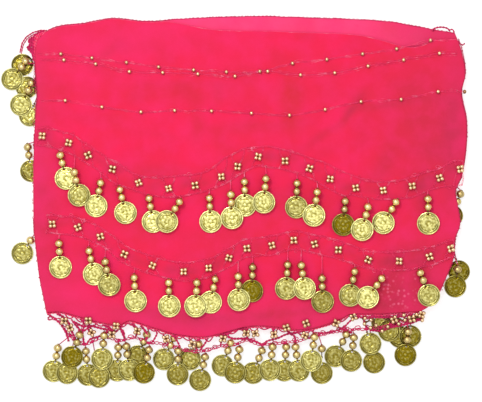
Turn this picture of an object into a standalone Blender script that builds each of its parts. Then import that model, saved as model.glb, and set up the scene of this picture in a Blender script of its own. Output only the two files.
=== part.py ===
"""Belly dance hip scarf of pink chiffon, folded in four and laid flat, with coin rows and a coin fringe.

Metres, +Z up. The scarf lies on the plane z = 0. +X runs to the right along the coin rows and +Y runs away
from the fringe. The sizes and tables below are in millimetres, measured from the middle of the whole scarf.
"""

import math

import bmesh
import bpy
from mathutils import Vector

MM = 0.001
COLLECTION = "belly_dance_hip_scarf"

# Driving sizes of the trim
COIN_RADIUS = 9.0
COIN_HALF_THICKNESS = 0.45
COIN_SIDES = 8
COIN_LIFT = 0.6
COIN_TILT = 0.6
COIN_TO_BEAD = 0.2
BEAD_RADIUS = 3.1
BEAD_PITCH = 6.4
# The shape of a bead, as shares of its radius
BEAD_HALF_WIDTH = 0.8
BEAD_HALF_HEIGHT = 0.55
BEAD_SHOULDER = 0.55
BEAD_NECK = 1.05
THREAD_HALF_WIDTH = 0.6
THREAD_DROP = 2.5
CHAIN_HALF_WIDTH = 1.0
CHAIN_HALF_HEIGHT = 0.45
CHAIN_STEP = 12.0
ROW_HALF_HEIGHT = 7.2
ROW_START = 4.5
FLOWER_RADIUS = 3.8
FLOWER_DROP = 0.3
FLOWER_RISE = 0.4
RUNG_HALF_WIDTH = 0.7
RUNG_HALF_HEIGHT = 0.3
RUNG_OVERLAP = 0.5
RUNG_LEAN = 0.01
KNOT_REACH = 1.6
CHAIN_REACH = 2.0
BATCHES = 4

# Driving sizes of the fringe's net and of the threads beside the folds
HEM_CLEARANCE = 1.4
HEM_HEIGHT = 6.4
NET_HEIGHT = 5.2
HEM_START = 1.0
NET_START = 5.0
NET_END = 5.5
SIDE_THREAD_HEIGHT = 4.6
SIDE_ROOT_RISE = 4.0
SIDE_ROOT_INSET = 1.0

# Driving sizes of the cloth and of how it is stacked
CLOTH_THICKNESS = 1.0
SEAM_GAP = 0.3
REST_GAP = 0.5
FLOOR_GAP = 0.4
FRONT_INSET = 0.8
STACK_TOP = 7.4
EDGE_DROP = 1.9
EDGE_RUN = 15.0
EDGE_STATIONS = (0.0, 4.0, 9.0, 15.0)
FOLD_RISE = 0.5
LEVEL_STEP = 1.8
HEAD_Y = 138.5
FOOT_Y = -88.0

# Cells across and along each stretch's grid
BACK_CELLS = (20, 6)
FRONT_CELLS = (20, 12)
HIDDEN_CELLS = (24, 14)

# The four sides of the folded scarf, a row for each bend
LEFT_SIDE = (
    ("y", "x"),
    (-88.0, -151.5), (-78.0, -153.5), (-64.0, -156.5), (-50.0, -158.5), (-20.0, -161.5), (25.0, -162.0),
    (60.0, -161.0), (75.0, -160.0), (87.0, -159.0), (107.0, -160.5), (124.0, -160.5), (132.0, -158.0),
    (138.5, -151.0),
)
RIGHT_SIDE = (
    ("y", "x"),
    (-88.0, 147.5), (-83.0, 155.5), (-73.0, 163.0), (-62.0, 168.0), (-45.0, 174.5), (-29.0, 176.0),
    (-16.5, 180.0), (-1.5, 178.0), (10.5, 176.5), (22.0, 181.0), (43.0, 184.5), (67.0, 185.0), (89.0, 181.0),
    (105.0, 184.0), (124.0, 181.0), (138.5, 175.5),
)
TOP_SIDE = (
    ("x", "y"),
    (-151.0, 138.5), (-140.5, 142.5), (-124.5, 144.0), (-108.5, 147.0), (-96.5, 148.5), (-72.5, 146.0),
    (-48.5, 147.5), (-28.5, 148.7), (21.0, 150.0), (51.5, 149.0), (83.5, 148.0), (119.5, 146.0),
    (139.5, 143.0), (157.0, 139.5), (175.5, 136.5),
)
BOTTOM_SIDE = (
    ("x", "y"),
    (-151.5, -88.0), (-140.5, -87.5), (-124.5, -91.5), (-112.5, -95.0), (-94.0, -98.0), (-84.5, -94.5),
    (-72.5, -98.0), (-56.5, -103.0), (-44.5, -106.0), (-24.5, -107.5), (-11.0, -104.5), (11.5, -99.0),
    (31.5, -99.5), (43.5, -101.5), (55.5, -101.5), (71.5, -98.0), (83.5, -93.5), (91.5, -89.5),
    (115.5, -89.0), (147.5, -87.0),
)
# The size of the bed along its top side and from its foot to its head
ACROSS = RIGHT_SIDE[-1][1] - LEFT_SIDE[-1][1]
ALONG = HEAD_Y - FOOT_Y
# How far the front stretch's top edge lies below the top side
FRONT_TOP_STEP = (
    ("x", "step"),
    (-151.0, 1.2), (-60.0, 1.2), (-44.0, 3.6), (-19.0, 9.5), (3.5, 11.8), (44.0, 12.5), (83.5, 12.5),
    (101.0, 13.5), (127.5, 18.5), (139.5, 17.5), (157.0, 9.0), (175.5, 5.0),
)
# The edges of the hidden stretches, from the surface up: how far in each lies, and its height
HIDDEN_EDGES = (
    ("inset", "height"),
    (17.5, 0.0), (16.3, 0.8), (16.0, 2.0), (17.0, 3.4), (3.0, 3.7), (1.3, 4.2), (1.2, 4.8), (2.4, 5.4),
    (5.5, 6.3), (EDGE_RUN + 2.0, STACK_TOP),
)
# Soft swells of the cloth: middle, half length, half width, turn in degrees and height
SWELLS = (
    ("x", "y", "long", "wide", "turn", "rise"),
    (45.0, 80.0, 45.0, 14.0, 84.0, 0.9), (-70.0, 95.0, 60.0, 18.0, 78.0, 0.7),
    (130.0, 40.0, 50.0, 16.0, 96.0, 0.9), (-120.0, -10.0, 60.0, 18.0, 88.0, 0.8),
    (-10.0, 10.0, 50.0, 20.0, 20.0, 0.7), (90.0, -40.0, 45.0, 16.0, 60.0, 0.8),
    (-60.0, -60.0, 55.0, 16.0, 100.0, 0.7), (20.0, -70.0, 40.0, 15.0, 92.0, 0.6),
)
# The bead flowers of the two rows, which the crochet chains follow above and below
UPPER_FLOWERS = (
    ("x", "y"),
    (-154.5, 54.0), (-133.5, 48.5), (-118.0, 38.5), (-98.5, 27.5), (-77.5, 16.5), (-53.5, 12.0),
    (-32.5, 14.5), (-11.5, 21.5), (1.5, 29.5), (18.0, 37.5), (39.5, 34.0), (59.0, 28.0), (75.5, 19.5),
    (96.0, 12.5), (118.0, 10.5), (141.0, 14.0), (163.0, 20.5), (179.5, 27.5),
)
LOWER_FLOWERS = (
    ("x", "y"),
    (-146.5, -16.5), (-126.0, -19.0), (-108.0, -26.5), (-89.0, -40.5), (-66.5, -49.5), (-41.5, -54.5),
    (-21.5, -51.5), (-5.5, -43.5), (9.0, -36.0), (29.0, -33.5), (46.5, -29.5), (63.0, -32.5), (82.0, -37.0),
    (106.0, -45.0), (130.5, -46.0), (155.0, -42.5), (172.0, -36.0),
)
# The dangles: the first bead, the coin's middle, the level above the cloth or the surface, and the beads
DANGLE_COLUMNS = ("bead_x", "bead_y", "coin_x", "coin_y", "level", "beads")
UPPER_DANGLES = (
    DANGLE_COLUMNS,
    (-140.0, 38.5, -135.5, 20.0, 0, 2), (-128.5, 24.5, -125.0, 6.5, 1, 2),
    (-108.0, 16.0, -111.5, -2.0, 0, 2), (-92.5, 11.0, -88.0, -7.5, 0, 2),
    (-69.0, 3.0, -66.0, -14.5, 0, 2), (-45.0, 1.0, -55.0, -14.5, 1, 2),
    (-21.0, 3.5, -20.0, -14.5, 0, 2), (-4.0, 7.0, -3.0, -11.5, 1, 2),
    (7.0, 16.5, 7.5, -1.5, 0, 2), (24.0, 19.0, 22.5, 1.0, 1, 2),
    (49.0, 16.0, 48.5, -3.0, 0, 2), (65.0, 8.5, 62.5, -9.5, 1, 2),
    (87.5, 1.5, 86.0, -17.0, 0, 2), (105.5, -3.0, 101.0, -21.0, 1, 2),
    (128.0, 1.0, 118.0, -15.5, 0, 2), (153.5, 3.5, 154.0, -16.0, 0, 2),
)
LOWER_DANGLES = (
    DANGLE_COLUMNS,
    (-141.0, -32.0, -140.0, -51.0, 0, 2), (-117.0, -38.0, -113.0, -56.5, 0, 2),
    (-104.0, -46.5, -101.0, -65.0, 1, 2), (-81.0, -59.5, -80.0, -78.0, 0, 2),
    (-53.5, -63.5, -53.0, -82.0, 0, 2), (-31.0, -63.5, -32.0, -82.0, 1, 2),
    (-16.5, -61.0, -20.0, -79.0, 0, 2), (2.0, -59.0, 2.5, -77.0, 1, 2),
    (13.5, -51.0, 13.0, -70.0, 0, 2), (41.5, -49.0, 40.5, -68.0, 0, 2),
    (52.5, -49.5, 55.0, -68.0, 1, 2), (69.0, -60.0, 69.5, -78.5, 0, 2),
    (95.0, -54.5, 91.5, -73.5, 0, 2), (116.5, -60.0, 105.5, -75.0, 1, 2),
    (147.5, -55.5, 154.5, -73.5, 0, 2),
)
# The lower chain of the fringe's net, and the bead flowers that hang it from the cloth's edge
NET_CHAIN = (
    ("x", "y"),
    (-151.5, -90.5), (-138.5, -95.5), (-133.0, -105.5), (-122.0, -113.0), (-106.0, -107.0), (-92.5, -110.0),
    (-80.5, -107.0), (-71.5, -111.5), (-60.5, -112.0), (-48.5, -115.5), (-40.5, -118.0), (-26.0, -118.0),
    (-11.0, -114.0), (0.0, -113.0), (9.0, -109.5), (21.0, -113.0), (43.5, -111.0), (59.5, -107.5),
    (75.5, -103.5), (91.5, -101.5), (108.5, -100.0), (123.5, -97.5), (139.5, -95.0), (152.5, -88.0),
)
NET_FLOWERS = (
    ("x", "y"),
    (-136.0, -96.5), (-115.0, -103.5), (-99.0, -105.0), (-79.0, -102.0), (-56.0, -108.5), (-34.5, -113.0),
    (-10.0, -109.5), (15.5, -104.5), (31.0, -105.0), (55.5, -105.5), (94.0, -94.5), (103.5, -95.0),
    (127.0, -93.5), (142.5, -93.0),
)
FRINGE_DANGLES = (
    DANGLE_COLUMNS,
    (-142.5, -116.0, -146.0, -134.5, 0, 2), (-125.5, -107.0, -131.0, -123.0, 2, 2),
    (-134.0, -113.0, -135.0, -136.0, 1, 0), (-120.0, -118.5, -118.5, -137.5, 0, 2),
    (-105.5, -107.0, -107.0, -124.5, 2, 2), (-110.0, -118.0, -109.5, -139.0, 1, 0),
    (-94.0, -115.5, -95.0, -134.0, 0, 2), (-87.5, -114.5, -85.5, -133.5, 1, 2),
    (-71.5, -106.0, -78.5, -122.5, 0, 2), (-69.5, -117.5, -73.5, -135.5, 2, 2),
    (-49.5, -108.0, -57.5, -125.0, 0, 2), (-46.0, -120.0, -46.5, -137.0, 1, 2),
    (-29.5, -113.0, -36.5, -125.0, 0, 1), (-24.5, -123.0, -28.5, -141.5, 1, 2),
    (-4.0, -112.0, -10.5, -130.0, 0, 2), (3.0, -117.0, -0.5, -135.5, 1, 2),
    (21.0, -118.0, 14.0, -136.0, 0, 2), (29.5, -115.5, 27.5, -133.5, 1, 2),
    (40.5, -115.0, 39.0, -134.0, 0, 2), (48.0, -115.0, 50.5, -134.0, 1, 2),
    (63.0, -107.0, 60.5, -126.0, 2, 2), (69.0, -116.5, 69.0, -136.0, 0, 1),
    (88.5, -105.0, 80.0, -122.5, 1, 2), (94.5, -108.0, 92.5, -126.0, 2, 2),
    (104.5, -105.0, 108.0, -112.5, 1, 0), (108.0, -104.5, 111.0, -127.5, 0, 0),
    (109.0, -93.5, 117.5, -95.5, 0, 0), (122.5, -97.5, 123.0, -102.0, 1, 0),
    (131.0, -97.5, 131.5, -107.0, 0, 0), (141.0, -94.5, 140.0, -106.5, 1, 0),
    (138.0, -103.5, 136.0, -121.5, 2, 2),
)
# The dangles that stick out past the folds, and the stretch of edge that each group's thread runs along
SIDE_GROUPS = (
    ("name", "side", "from_y", "to_y", "dangles"),
    ("left_upper_dangles", "left", 76.0, 124.0, (
        DANGLE_COLUMNS,
        (-168.0, 112.5, -171.0, 111.0, 0, 0), (-172.0, 108.5, -179.0, 99.5, 1, 1),
        (-165.0, 96.0, -167.5, 93.0, 0, 0), (-166.0, 90.5, -172.0, 79.0, 1, 1),
        (-163.5, 81.0, -165.0, 70.5, 0, 0))),
    ("left_middle_dangle", "left", 44.0, 56.0, (
        DANGLE_COLUMNS,
        (-166.5, 45.0, -164.0, 26.0, 0, 2))),
    ("left_lower_dangle", "left", -26.0, -12.0, (
        DANGLE_COLUMNS,
        (-164.5, -30.0, -171.0, -40.0, 0, 1))),
    ("right_upper_dangle", "right", 12.0, 22.0, (
        DANGLE_COLUMNS,
        (180.0, 7.5, 173.5, -10.0, 0, 1))),
    ("right_lower_dangles", "right", -44.0, -28.0, (
        DANGLE_COLUMNS,
        (178.5, -43.5, 179.0, -54.5, 0, 0), (178.0, -53.0, 176.0, -66.5, 1, 1))),
)

PINK = (0.92, 0.03, 0.11, 1.0)
PINK_LIGHT = (0.98, 0.08, 0.22, 1.0)
GOLD = (0.72, 0.60, 0.22, 1.0)


def rows(table):
    """The rows of a table with named columns, as dictionaries."""
    columns = table[0]
    return [dict(zip(columns, row)) for row in table[1:]]


def smooth(table, at):
    """The second column of a table at a value of the first, on a smooth curve through the rows."""
    points = table[1:]
    at = min(max(at, points[0][0]), points[-1][0])
    index = 0
    while index < len(points) - 2 and at > points[index + 1][0]:
        index += 1
    (x0, y0), (x1, y1) = points[index], points[index + 1]
    before = points[max(index - 1, 0)]
    after = points[min(index + 2, len(points) - 1)]
    span = x1 - x0
    slope0 = (y1 - before[1]) / (x1 - before[0])
    slope1 = (after[1] - y0) / (after[0] - x0)
    t = (at - x0) / span
    return (
        y0 * (1 + 2 * t) * (1 - t) ** 2
        + slope0 * span * t * (1 - t) ** 2
        + y1 * t * t * (3 - 2 * t)
        - slope1 * span * t * t * (1 - t)
    )


def mix(low, high, t):
    return low + (high - low) * t


def bed_point(u, v):
    """The place on the folded scarf at u from the left side and v from the bottom side, both 0 to 1."""
    level = mix(FOOT_Y, HEAD_Y, v)
    x = mix(smooth(LEFT_SIDE, level), smooth(RIGHT_SIDE, level), u)
    return x, mix(smooth(BOTTOM_SIDE, x), smooth(TOP_SIDE, x), v)


def bed_uv(x, y):
    """The u and v of a place: the way back from bed_point."""
    low, high = smooth(BOTTOM_SIDE, x), smooth(TOP_SIDE, x)
    v = (y - low) / (high - low)
    level = mix(FOOT_Y, HEAD_Y, v)
    left, right = smooth(LEFT_SIDE, level), smooth(RIGHT_SIDE, level)
    return (x - left) / (right - left), v


def edge_distance(u, v):
    """How far a place lies in from the nearest side."""
    return max(min(u * ACROSS, (1 - u) * ACROSS, v * ALONG, (1 - v) * ALONG), 0.0)


def stack_height(x, y):
    """The height of the stretches' bed: level in the middle and rounded down to its sides."""
    reach = min(edge_distance(*bed_uv(x, y)) / EDGE_RUN, 1.0)
    return STACK_TOP - EDGE_DROP * (1 - math.sqrt(1 - (1 - reach) ** 2))


def swell(x, y):
    """The soft swells of the cloth at a place."""
    height = 0.0
    for fold in rows(SWELLS):
        turn = math.radians(fold["turn"])
        dx, dy = x - fold["x"], y - fold["y"]
        along = (dx * math.cos(turn) + dy * math.sin(turn)) / fold["long"]
        across = (dy * math.cos(turn) - dx * math.sin(turn)) / fold["wide"]
        height += fold["rise"] * math.exp(-along * along - across * across)
    return height


def back_height(x, y):
    return stack_height(x, y) + SEAM_GAP


def front_height(x, y):
    """The underside of the front stretch."""
    return back_height(x, y) + CLOTH_THICKNESS + SEAM_GAP + FOLD_RISE + swell(x, y)


def rest_height(x, y, reach):
    """Where something of this reach rests on the front stretch, clear of its swells."""
    spots = ((0, 0), (reach, 0), (-reach, 0), (0, reach), (0, -reach))
    top = max(front_height(x + dx, y + dy) for dx, dy in spots)
    return top + CLOTH_THICKNESS + REST_GAP


def front_top_v(u):
    """Where the front stretch's top edge crosses the bed."""
    x, _ = bed_point(u, 1.0)
    low, high = smooth(BOTTOM_SIDE, x), smooth(TOP_SIDE, x)
    return 1 - smooth(FRONT_TOP_STEP, x) / (high - low)


def material(name, color, metallic, roughness):
    made = bpy.data.materials.new(name)
    made.use_nodes = True
    shader = made.node_tree.nodes["Principled BSDF"]
    shader.inputs["Base Color"].default_value = color
    shader.inputs["Metallic"].default_value = metallic
    shader.inputs["Roughness"].default_value = roughness
    return made


def new_object(name, mesh, collection, surface=None):
    obj = bpy.data.objects.new(name, mesh)
    collection.objects.link(obj)
    if surface:
        mesh.materials.append(surface)
    return obj


def outward(shape):
    bmesh.ops.recalc_face_normals(shape, faces=shape.faces)
    return shape


def stations(length, cells):
    """Places from 0 to 1 along a length: close together on its rounded ends and even between them."""
    ends = [inset / length for inset in EDGE_STATIONS]
    first, last = ends[-1], 1 - ends[-1]
    even = [mix(first, last, cell / cells) for cell in range(1, cells)]
    return ends + even + [1 - place for place in reversed(ends)]


def cloth_wall(name, point, height, cells, collection, surface):
    """A stretch of cloth: a grid of points over the bed, given its thickness upwards."""
    across, along = cells
    columns = stations(ACROSS, across)
    shape = bmesh.new()
    grid = []
    for v in stations(ALONG, along):
        places = [point(u, v) for u in columns]
        grid.append([shape.verts.new(Vector((x, y, height(x, y))) * MM) for x, y in places])
    for low, high in zip(grid, grid[1:]):
        for column in range(len(columns) - 1):
            shape.faces.new((low[column], low[column + 1], high[column + 1], high[column]))
    mesh = bpy.data.meshes.new(name)
    shape.to_mesh(mesh)
    shape.free()
    obj = new_object(name, mesh, collection, surface)
    thicken = obj.modifiers.new("thickness", "SOLIDIFY")
    thicken.thickness = CLOTH_THICKNESS * MM
    thicken.offset = 1.0
    return obj


def side_ring(inset, cells):
    """The places of a ring round the bed, this far in from its sides."""
    across, along = cells
    across_inset, along_inset = inset / ACROSS, inset / ALONG
    places = [(column / across, 0.0) for column in range(across)]
    places += [(1.0, row / along) for row in range(along)]
    places += [(1 - column / across, 1.0) for column in range(across)]
    places += [(0.0, 1 - row / along) for row in range(along)]
    return [
        bed_point(mix(across_inset, 1 - across_inset, u), mix(along_inset, 1 - along_inset, v))
        for u, v in places
    ]


def loft(shape, rings):
    """Closes a body through rings of equal length, with a flat cap at each end."""
    made = [[shape.verts.new(Vector(point) * MM) for point in ring] for ring in rings]
    for first, second in zip(made, made[1:]):
        count = len(first)
        for index in range(count):
            following = (index + 1) % count
            shape.faces.new((first[index], first[following], second[following], second[index]))
    shape.faces.new(list(reversed(made[0])))
    shape.faces.new(made[-1])


def folded_layers(collection, surface):
    """The hidden stretches: one rounded body, whose sides show the edges of the layers."""
    shape = bmesh.new()
    rings = []
    for edge in rows(HIDDEN_EDGES):
        rings.append([(x, y, edge["height"]) for x, y in side_ring(edge["inset"], HIDDEN_CELLS)])
    loft(shape, rings)
    mesh = bpy.data.meshes.new("folded_layers")
    outward(shape).to_mesh(mesh)
    shape.free()
    return new_object("folded_layers", mesh, collection, surface)


def strip(shape, points, half_width, half_height):
    """A flat thread strip through points, square to its course in plan."""
    rings = []
    for index, point in enumerate(points):
        before, after = points[max(index - 1, 0)], points[min(index + 1, len(points) - 1)]
        course = Vector((after[0] - before[0], after[1] - before[1])).normalized()
        side = Vector((-course.y, course.x)) * half_width
        x, y, z = point
        rings.append([
            (x + side.x, y + side.y, z + half_height), (x + side.x, y + side.y, z - half_height),
            (x - side.x, y - side.y, z - half_height), (x - side.x, y - side.y, z + half_height),
        ])
    loft(shape, rings)


def boss(shape, x, y, z):
    """The plain four-cornered body of one bead flower."""
    turns = [math.radians(90 * corner) for corner in range(4)]
    ring = [(x + FLOWER_RADIUS * math.cos(turn), y + FLOWER_RADIUS * math.sin(turn)) for turn in turns]
    rise = CHAIN_HALF_HEIGHT + FLOWER_RISE
    loft(shape, [[(px, py, z + lift) for px, py in ring] for lift in (-FLOWER_DROP, rise)])


def dangle_stations(root, row, rest):
    """The middles and half sizes of a dangle's cross sections, from its root to the coin's far edge."""
    coin = Vector((row["coin_x"], row["coin_y"]))
    course = (coin - Vector((row["bead_x"], row["bead_y"]))).normalized()
    given = math.hypot(row["coin_x"] - row["bead_x"], row["coin_y"] - row["bead_y"])
    least = COIN_RADIUS + BEAD_RADIUS + COIN_TO_BEAD + BEAD_PITCH * (row["beads"] - 1)
    bead = coin - course * max(given, least)
    floor = rest(coin.x, coin.y, COIN_RADIUS) + row["level"] * LEVEL_STEP
    coin_height = floor + COIN_HALF_THICKNESS + COIN_LIFT
    height = rest(bead.x, bead.y, BEAD_RADIUS) + row["level"] * LEVEL_STEP + BEAD_RADIUS
    thread = (THREAD_HALF_WIDTH, THREAD_HALF_WIDTH)
    made = [(Vector(root), thread)]
    for number in range(row["beads"]):
        middle = bead + course * BEAD_PITCH * number
        for part in (-BEAD_SHOULDER, BEAD_SHOULDER):
            spot = middle + course * BEAD_RADIUS * part
            size = (BEAD_HALF_WIDTH * BEAD_RADIUS, BEAD_HALF_HEIGHT * BEAD_RADIUS)
            made.append((Vector((spot.x, spot.y, height)), size))
        neck = middle + course * BEAD_RADIUS * BEAD_NECK
        made.append((Vector((neck.x, neck.y, (height + floor) / 2)), thread))
    if not row["beads"]:
        start = Vector(root).xy
        spot = start + (coin - start).normalized() * THREAD_DROP
        made.append((Vector((spot.x, spot.y, coin_height)), thread))
    for step in range(COIN_SIDES // 2):
        turn = math.radians((step + 0.5) * 360 / COIN_SIDES)
        spot = coin - course * COIN_RADIUS * math.cos(turn)
        tilt = COIN_TILT * math.cos(turn) if row["beads"] else 0.0
        size = (COIN_RADIUS * math.sin(turn), COIN_HALF_THICKNESS)
        made.append((Vector((spot.x, spot.y, coin_height + tilt)), size))
    return made


def dangle(shape, root, row, rest):
    """A thread with its beads and its coin, as one body of four-cornered cross sections."""
    sections = dangle_stations(root, row, rest)
    rings = []
    for index, (spot, (half_width, half_height)) in enumerate(sections):
        before = sections[max(index - 1, 0)][0]
        after = sections[min(index + 1, len(sections) - 1)][0]
        way = Vector((after.x - before.x, after.y - before.y)).normalized()
        side = Vector((-way.y, way.x)) * half_width
        left = (spot.x + side.x, spot.y + side.y)
        right = (spot.x - side.x, spot.y - side.y)
        top, low = spot.z + half_height, spot.z - half_height
        rings.append([(*left, top), (*left, low), (*right, low), (*right, top)])
    loft(shape, rings)


def sampled(table, low, high, shift):
    """Even stations along a table's curve, moved up or down the cloth by a shift."""
    count = max(int(round((high - low) / CHAIN_STEP)), 1)
    places = [mix(low, high, index / count) for index in range(count + 1)]
    return [(x, smooth(table, x) + shift) for x in places]


def as_object(shape, name, collection, surface=None):
    mesh = bpy.data.meshes.new(name)
    outward(shape).to_mesh(mesh)
    shape.free()
    return new_object(name, mesh, collection, surface)


def join(obj, cutter):
    """Joins a cutter's bodies to an object, with the solver that keeps thin threads that cross a chain."""
    cutter.hide_render = True
    cutter.display_type = "WIRE"
    union = obj.modifiers.new("join " + cutter.name, "BOOLEAN")
    union.operation = "UNION"
    union.solver = "MANIFOLD"
    union.object = cutter


def join_dangles(obj, name, table, root_of, rest, cutters):
    """Joins a table's dangles to their chain, in batches that hold no two neighbours."""
    dangles = rows(table)
    for batch in range(min(BATCHES, len(dangles))):
        shape = bmesh.new()
        for row in dangles[batch::BATCHES]:
            dangle(shape, root_of(row), row, rest)
        join(obj, as_object(shape, f"{name} dangles {batch}", cutters))


def coin_row(name, flowers, dangles, collection, cutters, surface):
    """Two crochet chains with bead flowers between them, and the dangles below."""
    low, high = flowers[1][0] - ROW_START, flowers[-1][0]

    def chain_height(x, y):
        return rest_height(x, y, CHAIN_REACH) + CHAIN_HALF_HEIGHT

    def on_cloth(points):
        return [(x, y, chain_height(x, y)) for x, y in points]

    def chain(shift):
        shape = bmesh.new()
        strip(shape, on_cloth(sampled(flowers, low, high, shift)), CHAIN_HALF_WIDTH, CHAIN_HALF_HEIGHT)
        return shape

    row = as_object(chain(ROW_HALF_HEIGHT), name, collection, surface)
    rungs, bosses = bmesh.new(), bmesh.new()
    for flower in rows(flowers):
        x, y = flower["x"], flower["y"]
        reach = ROW_HALF_HEIGHT + RUNG_OVERLAP
        run = [(x - RUNG_LEAN, y + reach), (x, y), (x + RUNG_LEAN, y - reach)]
        strip(rungs, on_cloth(run), RUNG_HALF_WIDTH, RUNG_HALF_HEIGHT)
        boss(bosses, x, y, chain_height(x, y))
    join(row, as_object(rungs, name + " rungs", cutters))
    join(row, as_object(chain(-ROW_HALF_HEIGHT), name + " lower chain", cutters))
    join(row, as_object(bosses, name + " flowers", cutters))

    def root_of(dangle_row):
        x = dangle_row["bead_x"]
        y = smooth(flowers, x) - ROW_HALF_HEIGHT + KNOT_REACH
        return x, y, chain_height(x, y)

    join_dangles(row, name, dangles, root_of, rest_height, cutters)
    return row


def floor_height(x, y, reach):
    """Where something rests on the surface below the scarf: the same at every place."""
    return FLOOR_GAP


def fringe(collection, cutters, surface):
    """The net of crochet chains along the bottom side, with the dangles that hang from it."""
    hem_gap = CHAIN_HALF_WIDTH + SEAM_GAP + HEM_CLEARANCE
    low, high = NET_CHAIN[1][0], NET_CHAIN[-1][0] - NET_END
    hem_line = sampled(BOTTOM_SIDE, low + HEM_START, high, -hem_gap)
    net_line = sampled(NET_CHAIN, low + NET_START, high, 0.0)
    hem, chain, rungs, bosses = bmesh.new(), bmesh.new(), bmesh.new(), bmesh.new()
    strip(hem, [(x, y, HEM_HEIGHT) for x, y in hem_line], CHAIN_HALF_WIDTH, CHAIN_HALF_HEIGHT)
    strip(chain, [(x, y, NET_HEIGHT) for x, y in net_line], CHAIN_HALF_WIDTH, CHAIN_HALF_HEIGHT)
    row = as_object(hem, "fringe", collection, surface)
    for flower in rows(NET_FLOWERS):
        x, y = flower["x"], flower["y"]
        top, foot = smooth(BOTTOM_SIDE, x) - hem_gap, smooth(NET_CHAIN, x)
        run = [
            (x - RUNG_LEAN, top + RUNG_OVERLAP, HEM_HEIGHT), (x + RUNG_LEAN, foot - RUNG_OVERLAP, NET_HEIGHT),
        ]
        strip(rungs, run, RUNG_HALF_WIDTH, RUNG_HALF_HEIGHT)
        boss(bosses, x, y, NET_HEIGHT + FLOWER_DROP)
    join(row, as_object(rungs, "fringe rungs", cutters))
    join(row, as_object(chain, "fringe chain", cutters))
    join(row, as_object(bosses, "fringe flowers", cutters))

    def root_of(dangle_row):
        x = dangle_row["bead_x"]
        net_y = smooth(NET_CHAIN, x)
        if dangle_row["bead_y"] < net_y - BEAD_RADIUS:
            return x, net_y + KNOT_REACH, NET_HEIGHT
        return x, smooth(BOTTOM_SIDE, x) - hem_gap, HEM_HEIGHT

    join_dangles(row, "fringe", FRINGE_DANGLES, root_of, floor_height, cutters)
    return row


def side_dangles(group, collection, cutters, surface):
    """A group of dangles past a fold, on a short thread beside the cloth's edge."""
    left = group["side"] == "left"
    side = LEFT_SIDE if left else RIGHT_SIDE
    out = -1.0 if left else 1.0
    first, last = group["from_y"], group["to_y"]

    def thread_x(y):
        return smooth(side, y) + out * SEAM_GAP

    count = max(int((last - first) / CHAIN_STEP), 1)
    places = [mix(first, last, index / count) for index in range(count + 1)]
    thread = bmesh.new()
    line = [(thread_x(y), y, SIDE_THREAD_HEIGHT) for y in places]
    strip(thread, line, THREAD_HALF_WIDTH, THREAD_HALF_WIDTH)
    row = as_object(thread, group["name"], collection, surface)

    def root_of(dangle_row):
        y = min(max(dangle_row["bead_y"] + SIDE_ROOT_RISE, first + SIDE_ROOT_INSET), last - SIDE_ROOT_INSET)
        return thread_x(y), y, SIDE_THREAD_HEIGHT

    join_dangles(row, group["name"], group["dangles"], root_of, floor_height, cutters)
    return row


def front_point(u, v):
    """The place on the front stretch, which stops a little short of the folds and at its own top edge."""
    side, end = FRONT_INSET / ACROSS, FRONT_INSET / ALONG
    across = mix(side, 1 - side, u)
    return bed_point(across, mix(end, front_top_v(across), v))


def clear_scene():
    for obj in list(bpy.data.objects):
        bpy.data.objects.remove(obj, do_unlink=True)


def collection_named(name):
    made = bpy.data.collections.new(name)
    bpy.context.scene.collection.children.link(made)
    return made


def build():
    clear_scene()
    parts = collection_named(COLLECTION)
    cutters = collection_named("cutters")
    cutters.hide_render = True
    folded_layers(parts, material("folded chiffon", PINK, 0.0, 0.7))
    walls = (
        ("back_layer", bed_point, back_height, BACK_CELLS, PINK_LIGHT),
        ("front_layer", front_point, front_height, FRONT_CELLS, PINK),
    )
    for name, point, height, cells, color in walls:
        cloth_wall(name, point, height, cells, parts, material(name + " chiffon", color, 0.0, 0.7))
    trim = (
        ("upper_coin_row", UPPER_FLOWERS, UPPER_DANGLES),
        ("lower_coin_row", LOWER_FLOWERS, LOWER_DANGLES),
    )
    for name, flowers, dangles in trim:
        coin_row(name, flowers, dangles, parts, cutters, material(name + " gold", GOLD, 1.0, 0.35))
    fringe(parts, cutters, material("fringe gold", GOLD, 1.0, 0.35))
    for group in rows(SIDE_GROUPS):
        side_dangles(group, parts, cutters, material(group["name"] + " gold", GOLD, 1.0, 0.35))


build()
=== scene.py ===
"""Looks of the belly dance hip scarf: pink chiffon folded in four, crochet trim, gold beads and coins.

Lengths in the tables are millimetres from the middle of the scarf. +X runs right along the coin rows, +Y away
from the fringe and +Z up. The tables of the bed and of the dangles repeat the ones of the part's source.
"""

import math
import random

import bpy
from mathutils import Matrix, Vector, geometry, noise


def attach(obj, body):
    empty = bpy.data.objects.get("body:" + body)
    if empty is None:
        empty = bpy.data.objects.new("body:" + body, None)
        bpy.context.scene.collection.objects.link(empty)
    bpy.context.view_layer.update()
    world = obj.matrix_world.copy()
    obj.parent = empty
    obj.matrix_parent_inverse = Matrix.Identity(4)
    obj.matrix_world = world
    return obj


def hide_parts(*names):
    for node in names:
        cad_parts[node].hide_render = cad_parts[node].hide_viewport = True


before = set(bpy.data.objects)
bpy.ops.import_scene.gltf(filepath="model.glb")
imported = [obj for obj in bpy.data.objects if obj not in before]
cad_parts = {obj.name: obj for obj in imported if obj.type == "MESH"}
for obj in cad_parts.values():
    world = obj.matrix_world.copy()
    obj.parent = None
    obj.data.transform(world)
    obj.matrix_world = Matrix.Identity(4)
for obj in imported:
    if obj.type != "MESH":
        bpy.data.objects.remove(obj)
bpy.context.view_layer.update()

MM = 0.001
BODY = "root"
UP = Vector((0.0, 0.0, 1.0))
DRAWS = random.Random(11)

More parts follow.
